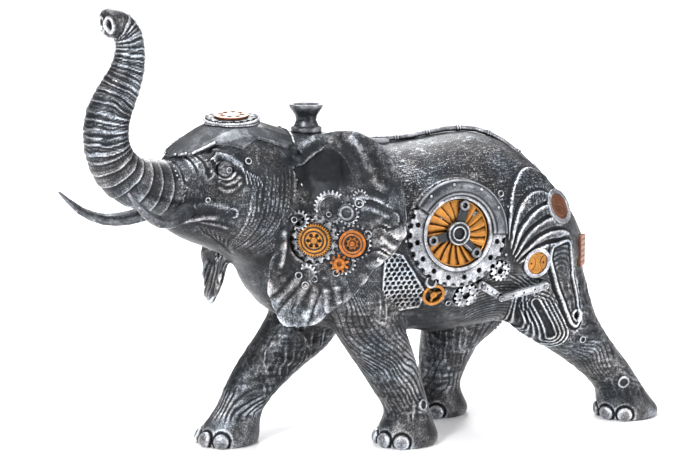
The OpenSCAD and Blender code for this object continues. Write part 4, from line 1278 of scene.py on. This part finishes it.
class Parts:
    """Gathers turned and swept shapes into one mesh."""

    def __init__(self):
        self.verts, self.faces = [], []

    def grid(self, rows, closed=True):
        """Skin over rows of points; a row closes on itself."""
        start, wide = len(self.verts), len(rows[0])
        self.verts += [tuple(p) for row in rows for p in row]
        for j in range(len(rows) - 1):
            for i in range(wide if closed else wide - 1):
                k = (i + 1) % wide
                a, b = start + j * wide, start + (j + 1) * wide
                self.faces.append((a + i, a + k, b + k, b + i))

    def lathe(self, centre, axis, profile, sides=28):
        """Turned shape; the profile holds (radius, height along the axis)."""
        axis = unit(np.asarray(axis, float))
        side = unit(np.cross(axis, (0.21, 0.34, 0.91)))
        other = np.cross(axis, side)
        angles = np.linspace(0, 2 * np.pi, sides, endpoint=False)
        ring = np.cos(angles)[:, None] * side + np.sin(angles)[:, None] * other
        self.grid([centre + r * ring + h * axis for r, h in profile])

    def eyelet(self, centre, axis, radius, height=1.0):
        """Raised ring with a round edge and a sunk hole."""
        r, h = radius, height
        self.lathe(centre, axis, (
            (r, -1.2), (r, 0.45 * h), (0.93 * r, 0.85 * h), (0.8 * r, h), (0.68 * r, 0.9 * h),
            (0.6 * r, 0.5 * h), (0.56 * r, -0.9), (0.02, -0.9),
        ))

    def gear(self, disc, centre, tip, root, bore, teeth, thick):
        """Flat toothed ring parallel to a disc, its top this thick over the centre."""
        angles, reach = [], []
        for k in range(teeth):
            for share, r in ((0.0, root), (0.22, root), (0.34, tip), (0.66, tip), (0.78, root)):
                angles.append(2 * np.pi * (k + share) / teeth)
                reach.append(r)
        angles, reach = np.array(angles), np.array(reach)
        ring = np.cos(angles)[:, None] * disc.back + np.sin(angles)[:, None] * disc.up
        rows = [centre + ring * reach[:, None] + h * disc.out for h in (-2.0, thick)]
        for wide, h in ((1.18, thick), (1.16, thick - 0.3), (1.0, thick - 0.3), (1.0, -2.0)):
            rows.append(centre + ring * bore * wide + h * disc.out)
        self.grid(rows)

    def rivet(self, centre, axis, radius):
        """Domed rivet head."""
        self.lathe(centre, axis, ((radius, -0.6), (radius, 0.15), (0.8 * radius, 0.5 * radius),
                                  (0.45 * radius, 0.72 * radius), (0.02, 0.8 * radius)), 12)

    def tube(self, line, radius, sides=10, flat=1.0, out=None, closed=False):
        """Round bar along a line, flattened toward out."""
        line = np.asarray(line, float)
        if closed:
            ahead, behind = np.roll(line, -1, 0), np.roll(line, 1, 0)
        else:
            ahead, behind = np.vstack([line[1:], line[-1:]]), np.vstack([line[:1], line[:-1]])
        tangents = ahead - behind
        tangents /= np.linalg.norm(tangents, axis=1)[:, None]
        rows = []
        for p, t in zip(line, tangents):
            hint = UP if out is None else out
            side = np.cross(t, hint)
            side = unit(side) if np.linalg.norm(side) > 1e-6 else unit(np.cross(t, (1, 0, 0)))
            top = np.cross(side, t)
            angles = np.linspace(0, 2 * np.pi, sides, endpoint=False)
            rows.append(p + radius * (np.cos(angles)[:, None] * side + flat * np.sin(angles)[:, None] * top))
        if closed:
            rows.append(rows[0])
        else:
            rows = [np.repeat(line[:1], sides, 0), *rows, np.repeat(line[-1:], sides, 0)]
        self.grid(rows)

    def build(self, name, finish, slot, replaces=(), bevel=0.0):
        """One object of everything gathered, painted and set on its body."""
        o = mesh_object(name, self.verts, self.faces)
        made = bmesh.new()
        made.from_mesh(o.data)
        bmesh.ops.remove_doubles(made, verts=made.verts, dist=0.004 * MM)
        bmesh.ops.recalc_face_normals(made, faces=made.faces)
        made.to_mesh(o.data)
        made.free()
        finish_piece(o, finishes()[finish], True, replaces)
        if bevel:
            edges = o.modifiers.new("edges", "BEVEL")
            edges.width = bevel * MM
            edges.segments = 2
            edges.limit_method = "ANGLE"
            edges.angle_limit = math.radians(40)
        return o


def seat(names, start, direction):
    """(point, outward normal) where a ray meets a casting."""
    best = None
    for name in names:
        hit, normal, _, distance = SHELLS[name].ray_cast(Vector(start), Vector(direction))
        if hit is not None and (best is None or distance < best[2]):
            normal = np.array(normal)
            if normal @ np.asarray(direction, float) > 0:
                normal = -normal
            best = (np.array(hit), normal, distance)
    return best


def flank_seat(side, back, up):
    """Seat on the flank, back from the wheel and up from it."""
    wheel = WHEEL[side].centre
    sign = SIDES[side]
    names = ("torso_shell", f"rear_{side}_leg", f"front_{side}_leg")
    return seat(names, (wheel[0] + back, sign * FLANK_RAY, wheel[2] + up), (0, -sign, 0))


def face_seat(side, back, up):
    """Seat on the face, back from the eye and up from it."""
    sign = SIDES[side]
    return seat(("head", "trunk"), HEAD.at(back, sign * FACE_RAY, up), -sign * HEAD.across)


def ear_seat(side, back, up):
    """Seat on the front of an ear, back from its big gear and up from it."""
    disc = EAR[side]
    return seat((f"{side}_ear",), disc.at(back, up, EAR_RAY), -disc.out)


def leg_seat(name, offset, z):
    """Seat on the outside of a leg at a height, this far back from its middle."""
    side = -1 if "left" in name else 1
    cad = points_of(name)
    ring = cad[np.abs(cad[:, 2] - z) < 12]
    x = (ring[:, 0].min() + ring[:, 0].max()) / 2 + offset
    return seat((name,), (x, side * FLANK_RAY, z), (0, -side, 0))


class ELEPHANT_OT_rings(bpy.types.Operator):
    """Sets the small rings and rivets round the clockwork, on the face, the ears and the legs"""

    bl_idname = "elephant.rings"
    bl_label = "Rings and rivets"

    def execute(self, context):
        rings, rivets, holes, gears = Parts(), Parts(), Parts(), Parts()
        for side in SIDES:
            seats = [
                (flank_seat(side, -17.6, -29.3), 4.0), (flank_seat(side, 31.0, 22.0), 2.1),
                (flank_seat(side, -3.0, -44.5), 2.0), (flank_seat(side, 60.5, -44.0), 2.6),
                (flank_seat(side, 93.5, -77.0), 2.4), (leg_seat(f"front_{side}_leg", 7.0, 27.0), 3.9),
                (leg_seat(f"rear_{side}_leg", 2.0, 27.0), 4.2), (face_seat(side, 14.2, 3.8), 2.2),
                (face_seat(side, 33.5, 17.8), 1.7), (face_seat(side, -11.4, -17.0), 1.6),
                (ear_seat(side, 27.0, 23.0), 3.1), (ear_seat(side, 32.0, 4.0), 2.7),
                (ear_seat(side, -9.5, -21.5), 2.4), (ear_seat(side, -5.5, -27.5), 2.4),
                (ear_seat(side, 0.0, -23.8), 2.0), (ear_seat(side, 13.0, -20.0), 2.2),
                (ear_seat(side, 8.5, 15.5), 1.8), (ear_seat(side, -12.0, 12.5), 2.0),
            ]
            for found, radius in seats:
                if found is not None:
                    rings.eyelet(found[0], found[1], radius, 1.5)
                    bottom = ((0.66 * radius, 0.6), (0.4 * radius, 0.5), (0.01, 0.5))
                    holes.lathe(found[0], found[1], bottom)
            wheel = WHEEL[side]
            ear = EAR[side]
            for back, up, tip, bore, teeth, thick in (
                (9.5, 19.5, 10.5, 6.6, 24, 0.7), (23.3, -1.2, 11.0, 8.4, 22, 0.5),
                (20.5, 16.0, 6.6, 4.2, 15, 1.0), (17.7, -13.7, 7.4, 5.0, 16, 0.4),
                (-4.6, -20.6, 6.4, 3.4, 14, 0.6), (27.6, 26.7, 4.6, 2.6, 12, 0.8),
                (-9.0, 12.0, 6.2, 3.6, 14, 0.5),
            ):
                found = ear_seat(side, back, up)
                if found is not None:
                    gears.gear(ear, found[0], tip, tip - 1.3, bore, teeth, thick)
            hub = Disc(f"{side}_spider", (0, SIDES[side], 0))
            top = (hub.centre - wheel.centre) @ wheel.out
            rings.lathe(wheel.at(0, 0, top), wheel.out, (
                (7.3, -0.8), (7.3, 0.1), (7.0, 0.4), (6.4, 0.4), (6.1, 0.05), (6.0, -0.3),
            ), 64)
            rings.lathe(wheel.at(0, 0, top), wheel.out, (
                (4.8, -0.3), (4.7, 0.2), (4.3, 0.5), (3.8, 0.4), (3.6, -0.3), (3.5, -2.0),
            ), 64)
            holes.lathe(wheel.at(0, 0, top), wheel.out, ((6.1, 0.08), (4.7, 0.08)), 64)
            holes.lathe(wheel.at(0, 0, top), wheel.out, ((3.6, -1.6), (0.01, -1.6)), 48)
            for angle in (28, 60, 96, 128):
                a = math.radians(angle)
                rivets.rivet(wheel.polar(30.6, a, 1.6), wheel.out, 1.0)
            for back, up in ((-34, -3), (-36, 20), (36, 14), (34, -16)):
                found = flank_seat(side, back, up)
                if found is not None:
                    rivets.rivet(found[0], found[1], 0.9)
            for k in range(9):
                found = face_seat(side, -25.0 + 0.9 * math.sin(k), 9.0 - 2.3 * k)
                if found is not None:
                    rivets.rivet(found[0], found[1], 0.55)
        rings.build("small_rings", "silver", "silver_finish")
        holes.build("ring_holes", "hole", "dark_finish")
        gears.build("ear_gears", "silver", "silver_finish", bevel=0.15)
        rivets.build("small_rivets", "bright", "silver_finish")
        return {"FINISHED"}


class ELEPHANT_OT_ear_wheels(bpy.types.Operator):
    """Lays the raised rings and dark grooves on the brass and bronze wheels of the ears"""

    bl_idname = "elephant.ear_wheels"
    bl_label = "Ear wheels"

    def execute(self, context):
        for node, finish, slot in (
            ("crown_wheel", "brass", "brass_finish"), ("spoked_wheel", "orange", "copper_finish"),
        ):
            raised, grooves = Parts(), Parts()
            for side in SIDES:
                ear = EAR[side]
                disc = Disc(f"{side}_{node}", ear.out, ear.back)
                r = disc.radius
                middle = disc.at(0, 0)
                raised.lathe(middle, disc.out, (
                    (0.74 * r, -0.2), (0.735 * r, 0.3), (0.70 * r, 0.5), (0.64 * r, 0.5), (0.60 * r, 0.3),
                    (0.595 * r, -0.2),
                ), 64)
                raised.lathe(middle, disc.out, (
                    (0.20 * r, -0.2), (0.19 * r, 0.45), (0.13 * r, 0.7), (0.02, 0.75),
                ), 32)
                for inner, outer in ((0.50, 0.59), (0.745, 0.81), (0.21, 0.245)):
                    grooves.lathe(middle, disc.out, (
                        (outer * r, -0.1), (outer * r, 0.03), (inner * r, 0.03), (inner * r, -0.1),
                    ), 64)
            raised.build(f"{node}_rings", finish, slot)
            grooves.build(f"{node}_grooves", "hole", "dark_finish")
        return {"FINISHED"}


class ELEPHANT_OT_fans(bpy.types.Operator):
    """Lays the overlapping brass blades inside each wheel"""

    bl_idname = "elephant.fans"
    bl_label = "Fans"

    def execute(self, context):
        for side in SIDES:
            wheel = WHEEL[side]
            node = f"{side}_fan"
            fan = Disc(node, (0, SIDES[side], 0))
            parts = Parts()
            outer, inner, count = fan.radius - 0.3, 6.0, 19
            blade = ((0.0, -1.7), (0.04, -0.25), (0.12, 0.0), (0.5, -0.35), (0.93, -1.25), (1.0, -1.8))
            top = (fan.centre - wheel.centre) @ wheel.out - 0.2
            for k in range(count):
                rows = []
                for r in np.linspace(inner, outer, 7):
                    swirl = 0.16 * (r - inner) / (outer - inner)
                    row = []
                    for t, lift in blade:
                        angle = 2 * np.pi * (k + t) / count + swirl
                        row.append(wheel.polar(r, angle * SIDES["right"], top + lift))
                    rows.append(row)
                parts.grid(rows, closed=False)
            parts.lathe(wheel.at(0, 0, top - 1.9), wheel.out, ((outer, 0.0), (0.05, 0.0)), 64)
            parts.lathe(wheel.at(0, 0, top), wheel.out, (
                (outer + 0.2, -2.2), (outer + 0.2, -0.2), (outer - 0.1, 0.15), (outer - 0.7, 0.15),
                (outer - 0.9, -1.6),
            ), 96)
            parts.build(f"{side}_fan_blades", "brass", "brass_finish", (node,))
        return {"FINISHED"}


class ELEPHANT_OT_arches(bpy.types.Operator):
    """Turns the round guard over each wheel, with its two thin lines and its rivets"""

    bl_idname = "elephant.arches"
    bl_label = "Guard arches"

    def execute(self, context):
        for side in SIDES:
            wheel = WHEEL[side]
            node = f"{side}_guard_arch"
            cad = (points_of(node) - wheel.centre) @ np.stack([wheel.back, wheel.up, wheel.out], axis=1)
            reach = np.hypot(cad[:, 0], cad[:, 1])
            angles = np.arctan2(cad[:, 1], cad[:, 0])
            first, last, high = angles.min(), angles.max(), cad[:, 2].max()
            inner, outer = reach.min(), reach.max()
            parts = Parts()
            width = outer - inner
            profile = [
                (-0.02, -2.6), (0.0, -0.6), (0.05, -0.05), (0.12, 0.1), (0.17, -0.35), (0.23, -0.4),
                (0.28, 0.0), (0.42, 0.12), (0.60, 0.0), (0.78, -0.4), (0.86, -0.65), (0.90, -0.3),
                (0.95, -0.35), (1.0, -1.0), (1.0, -3.2),
            ]
            rows, steps = [], 72
            for k in range(steps + 1):
                angle = first + (last - first) * k / steps
                cap = 0 < k < steps
                rows.append([
                    wheel.polar(inner + width * x, angle, high - 0.1 + (h if cap else min(h, -0.6)))
                    for x, h in profile
                ])
            parts.grid(rows, closed=False)
            for edge in (rows[0], rows[-1]):
                middle = np.mean(edge, axis=0)
                parts.grid([edge, [middle] * len(edge)], closed=True)
            parts.build(f"{side}_arch", "gunmetal", "silver_finish", (node,))
        return {"FINISHED"}


def sharp_edges(name, angle, outward):
    """Line pieces on the sharp outer edges of a node; outward(normals) picks them."""
    made = bmesh.new()
    for p in points_of(name):
        made.verts.new(p)
    made.verts.ensure_lookup_table()
    for t in triangles_of(name):
        try:
            made.faces.new([made.verts[int(i)] for i in t])
        except ValueError:
            continue
    bmesh.ops.remove_doubles(made, verts=made.verts, dist=0.01)
    found = []
    for edge in made.edges:
        if len(edge.link_faces) == 2 and edge.calc_face_angle(0) > angle:
            normals = [np.array(f.normal) for f in edge.link_faces]
            if outward(normals):
                out = unit(normals[0] + normals[1])
                found.append([np.array(v.co) + 0.45 * out for v in edge.verts])
    made.free()
    return found


LID_STAND = 0.6  # how far the lids stand off the eyeball, in millimetres


class ELEPHANT_OT_eyelids(bpy.types.Operator):
    """Closes the lids half over the eyes and rings the iris"""

    bl_idname = "elephant.eyelids"
    bl_label = "Eyelids"

    def execute(self, context):
        lids, iris = Parts(), Parts()
        for side, sign in SIDES.items():
            eye, out = HEAD.eyes[side], sign * HEAD.across
            for up, reach in ((1, 0.50), (-1, 0.46)):
                rows = []
                for swing in np.linspace(-1.5, 1.5, 25):
                    edge = math.asin(reach * math.cos(swing) * 0.98)
                    row = []
                    for t in np.linspace(0, 1, 9):
                        tilt = edge + (math.pi / 2 - edge) * t
                        r = LID_STAND + HEAD.eye_radius - 0.5 * (t == 0)
                        row.append(eye + r * (
                            math.cos(tilt) * (math.cos(swing) * out + math.sin(swing) * HEAD.back)
                            + up * math.sin(tilt) * UP
                        ))
                    rows.append(row)
                lids.grid(rows, closed=False)
            iris.lathe(eye, out, ((1.9, HEAD.eye_radius - 0.6), (1.9, HEAD.eye_radius - 0.1),
                                  (1.5, HEAD.eye_radius + 0.05), (1.2, HEAD.eye_radius - 0.15)), 28)
        lids.build("eyelids", "cast_plain", "silver_finish")
        iris.build("iris_rings", "silver", "dark_finish")
        return {"FINISHED"}


class ELEPHANT_OT_skull_rim(bpy.types.Operator):
    """Runs a thin riveted bead round the plate on the skull"""

    bl_idname = "elephant.skull_rim"
    bl_label = "Skull rim"

    def execute(self, context):
        parts = Parts()
        edges = sharp_edges("skull_plate", math.radians(50), lambda n: max(n[0][2], n[1][2]) > 0.35)
        for p, q in edges:
            if np.linalg.norm(q - p) > 0.05:
                parts.tube([p, (p + q) / 2, q], 0.75, 8)
        step, passed = 3.4, 0.0
        for p, q in edges:
            passed += np.linalg.norm(q - p)
            if passed > step:
                passed = 0.0
                parts.rivet(p + 0.35 * UP, UP, 0.85)
        parts.build("skull_rim", "silver", "dark_finish")
        return {"FINISHED"}


class ELEPHANT_OT_pipe_bands(bpy.types.Operator):
    """Binds the pipe along the spine with narrow bands"""

    bl_idname = "elephant.pipe_bands"
    bl_label = "Pipe bands"

    def execute(self, context):
        cad = points_of("spine_pipe")
        low, high = cad.min(0), cad.max(0)
        radius = (high[1] - low[1]) / 2
        shell = surface_of("spine_pipe")
        line = []
        for x in np.arange(low[0] + 4, high[0] - 3, 2.0):
            above = Vector((x, (low[1] + high[1]) / 2, high[2] + FLANK_RAY))
            hit = shell.ray_cast(above, Vector((0, 0, -1)))[0]
            line.append([*hit[:2], hit.z - radius])
        line = np.array(line)
        parts = Parts()
        for k in range(6, len(line) - 1, 11):
            tangent = unit(line[k + 1] - line[k - 1])
            r = radius
            parts.lathe(line[k], tangent, (
                (r - 0.3, -1.4), (r + 0.25, -1.3), (r + 0.3, -0.5), (r + 0.1, -0.2), (r + 0.1, 0.2),
                (r + 0.3, 0.5), (r + 0.25, 1.3), (r - 0.3, 1.4),
            ), 24)
        parts.build("pipe_bands", "silver", "silver_finish")
        return {"FINISHED"}


class ELEPHANT_OT_badges(bpy.types.Operator):
    """Presses the two curved lines and the dots into the hip and rump badges"""

    bl_idname = "elephant.badges"
    bl_label = "Badges"

    def execute(self, context):
        for side in SIDES:
            for node, finish, slot in (
                ("hip_inserts", "brass", "brass_finish"), ("rump_inserts", "copper", "copper_finish"),
            ):
                disc = half_disc(node, side)
                parts = Parts()
                radius = disc.radius - 0.05
                rows = []
                for r in np.linspace(radius, 0.02, 26):
                    angles = np.linspace(0, 2 * np.pi, 96, endpoint=False)
                    x, y = r * np.cos(angles), r * np.sin(angles)
                    if node == "hip_inserts":
                        bow = np.minimum(np.abs(np.hypot(x - 1.02 * radius, y) - 0.78 * radius),
                                         np.abs(np.hypot(x + 1.02 * radius, y) - 0.78 * radius))
                        dots = np.hypot(np.abs(x) - 0.62 * radius, y)
                        waist = np.abs(np.abs(y) - 0.86 * radius) + 2.0 * (np.abs(x) > 0.45 * radius)
                        bow = np.minimum(bow, waist)
                    else:
                        bow = np.minimum(np.abs(x * 0.5 + y * 0.87 - 0.2 * radius * np.sin(3 * x / radius)),
                                         np.abs(np.hypot(x, y) - 0.82 * radius))
                        dots = np.hypot(x - 0.35 * radius, y + 0.45 * radius)
                    depth = -0.75 * (1 - smooth_step(bow, 0.18, 0.55))
                    depth -= 0.8 * (1 - smooth_step(dots, 0.45, 0.8))
                    edge = 0.25 * (r / radius) ** 6
                    rows.append(disc.at(x, y, 0.55 + depth - edge))
                rows.insert(0, disc.at(radius * np.cos(angles), radius * np.sin(angles), -1.0 + 0 * angles))
                parts.grid(rows)
                parts.build(f"{side}_{node[:-1]}_face", finish, slot)
        return {"FINISHED"}


def half_disc(name, side):
    """Frame of the one of a pair of round inserts on this side."""
    co = points_of(name)
    middle = (co[:, 1].min() + co[:, 1].max()) / 2
    return Disc(name, (0.2, SIDES[side], 0.1), part=(co[:, 1] - middle) * SIDES[side] > 0)


# ---- Studio ----


class ELEPHANT_OT_studio(bpy.types.Operator):
    """Sets the pale floor, the lamps and the camera"""

    bl_idname = "elephant.studio"
    bl_label = "Studio"

    def execute(self, context):
        studio = context.scene.elephant_studio
        edge = 6000
        corners = [(x, y, 0) for x in (-edge, edge) for y in (-edge, edge)]
        floor = mesh_object("floor", corners, [(0, 2, 3, 1)])
        pale = Finish("pale_floor", 0.6, 0.0)
        speck = pale.noise(40.0, 2.0)
        tint = pale.ramp(speck, ((0.3, (0.94, 0.94, 0.94)), (0.7, (0.97, 0.97, 0.97))))
        floor.data.materials.append(pale.done(tint))
        world = bpy.data.worlds.new("studio")
        context.scene.world = world
        world.use_nodes = True
        tree = world.node_tree
        sky = tree.nodes["Background"]
        way = tree.nodes.new("ShaderNodeTexCoord").outputs["Generated"]
        split = tree.nodes.new("ShaderNodeSeparateXYZ")
        tree.links.new(way, split.inputs[0])
        ramp = tree.nodes.new("ShaderNodeValToRGB")
        tree.links.new(split.outputs["Z"], ramp.inputs[0])
        tones = ((0.0, 1.2), (0.04, 0.16), (0.42, 0.18), (0.64, 1.35), (1.0, 1.8))
        for place, tone in tones[2:]:
            ramp.color_ramp.elements.new(place)
        for element, (place, tone) in zip(ramp.color_ramp.elements, tones):
            element.position = place
            element.color = (tone, tone, tone * 1.02, 1.0)
        tree.links.new(ramp.outputs[0], sky.inputs["Color"])
        sky.inputs["Strength"].default_value = studio.light
        context.scene.view_settings.view_transform = "Standard"
        target = Vector(studio.target)
        lamps = (
            ("key", (-1.3, -0.9, 1.0), 0.4, 26.0), ("fill", (1.1, -1.3, 0.5), 0.4, 11.0),
            ("top", (0.1, 0.1, 1.6), 0.6, 14.0), ("rim", (0.5, 1.3, 0.9), 0.6, 14.0),
        )
        for name, place, size, power in lamps:
            light = bpy.data.lights.new(name, "AREA")
            light.shape = "DISK"
            light.size = size
            light.energy = power * studio.light
            lamp = bpy.data.objects.new(name, light)
            lamp.location = target + Vector(place)
            lamp.rotation_euler = (target - lamp.location).to_track_quat("-Z", "Y").to_euler()
            context.scene.collection.objects.link(lamp)
        a, e = studio.azimuth, studio.elevation
        away = Vector((math.sin(a) * math.cos(e), -math.cos(a) * math.cos(e), math.sin(e)))
        data = bpy.data.cameras.new("camera")
        data.lens = 100.0
        data.sensor_width = 36.0
        camera = bpy.data.objects.new("camera", data)
        camera.location = target + away * studio.distance
        camera.rotation_euler = (-away).to_track_quat("-Z", "Y").to_euler()
        context.scene.collection.objects.link(camera)
        context.scene.camera = camera
        return {"FINISHED"}


# ---- Panel and registration ----

OPERATORS = (
    ELEPHANT_OT_casting, ELEPHANT_OT_clockwork, ELEPHANT_OT_rings, ELEPHANT_OT_ear_wheels, ELEPHANT_OT_fans,
    ELEPHANT_OT_arches, ELEPHANT_OT_eyelids, ELEPHANT_OT_skull_rim, ELEPHANT_OT_pipe_bands,
    ELEPHANT_OT_badges, ELEPHANT_OT_studio,
)


class ELEPHANT_PT_panel(bpy.types.Panel):
    """Lists the settings and the pieces in the sidebar"""

    bl_label = "Clockwork Elephant"
    bl_idname = "ELEPHANT_PT_panel"
    bl_space_type = "VIEW_3D"
    bl_region_type = "UI"
    bl_category = "Elephant"

    def draw(self, context):
        for name in GROUPS:
            settings = getattr(context.scene, name)
            box = self.layout.box()
            box.label(text=name.split("_")[1].title())
            for key in settings.__annotations__:
                box.prop(settings, key)
        for operator in OPERATORS:
            self.layout.operator(operator.bl_idname)


GROUPS = {"elephant_shape": ElephantShape, "elephant_paint": ElephantPaint, "elephant_studio": ElephantStudio}
CLASSES = (*GROUPS.values(), *OPERATORS, ELEPHANT_PT_panel)


def register():
    for kind in CLASSES:
        bpy.utils.register_class(kind)
    for name, group in GROUPS.items():
        setattr(bpy.types.Scene, name, PointerProperty(type=group))


def unregister():
    for name in GROUPS:
        delattr(bpy.types.Scene, name)
    for kind in reversed(CLASSES):
        bpy.utils.unregister_class(kind)


def main():
    register()
    for operator in OPERATORS:
        group, name = operator.bl_idname.split(".")
        getattr(getattr(bpy.ops, group), name)()


if __name__ == "__main__":
    main()
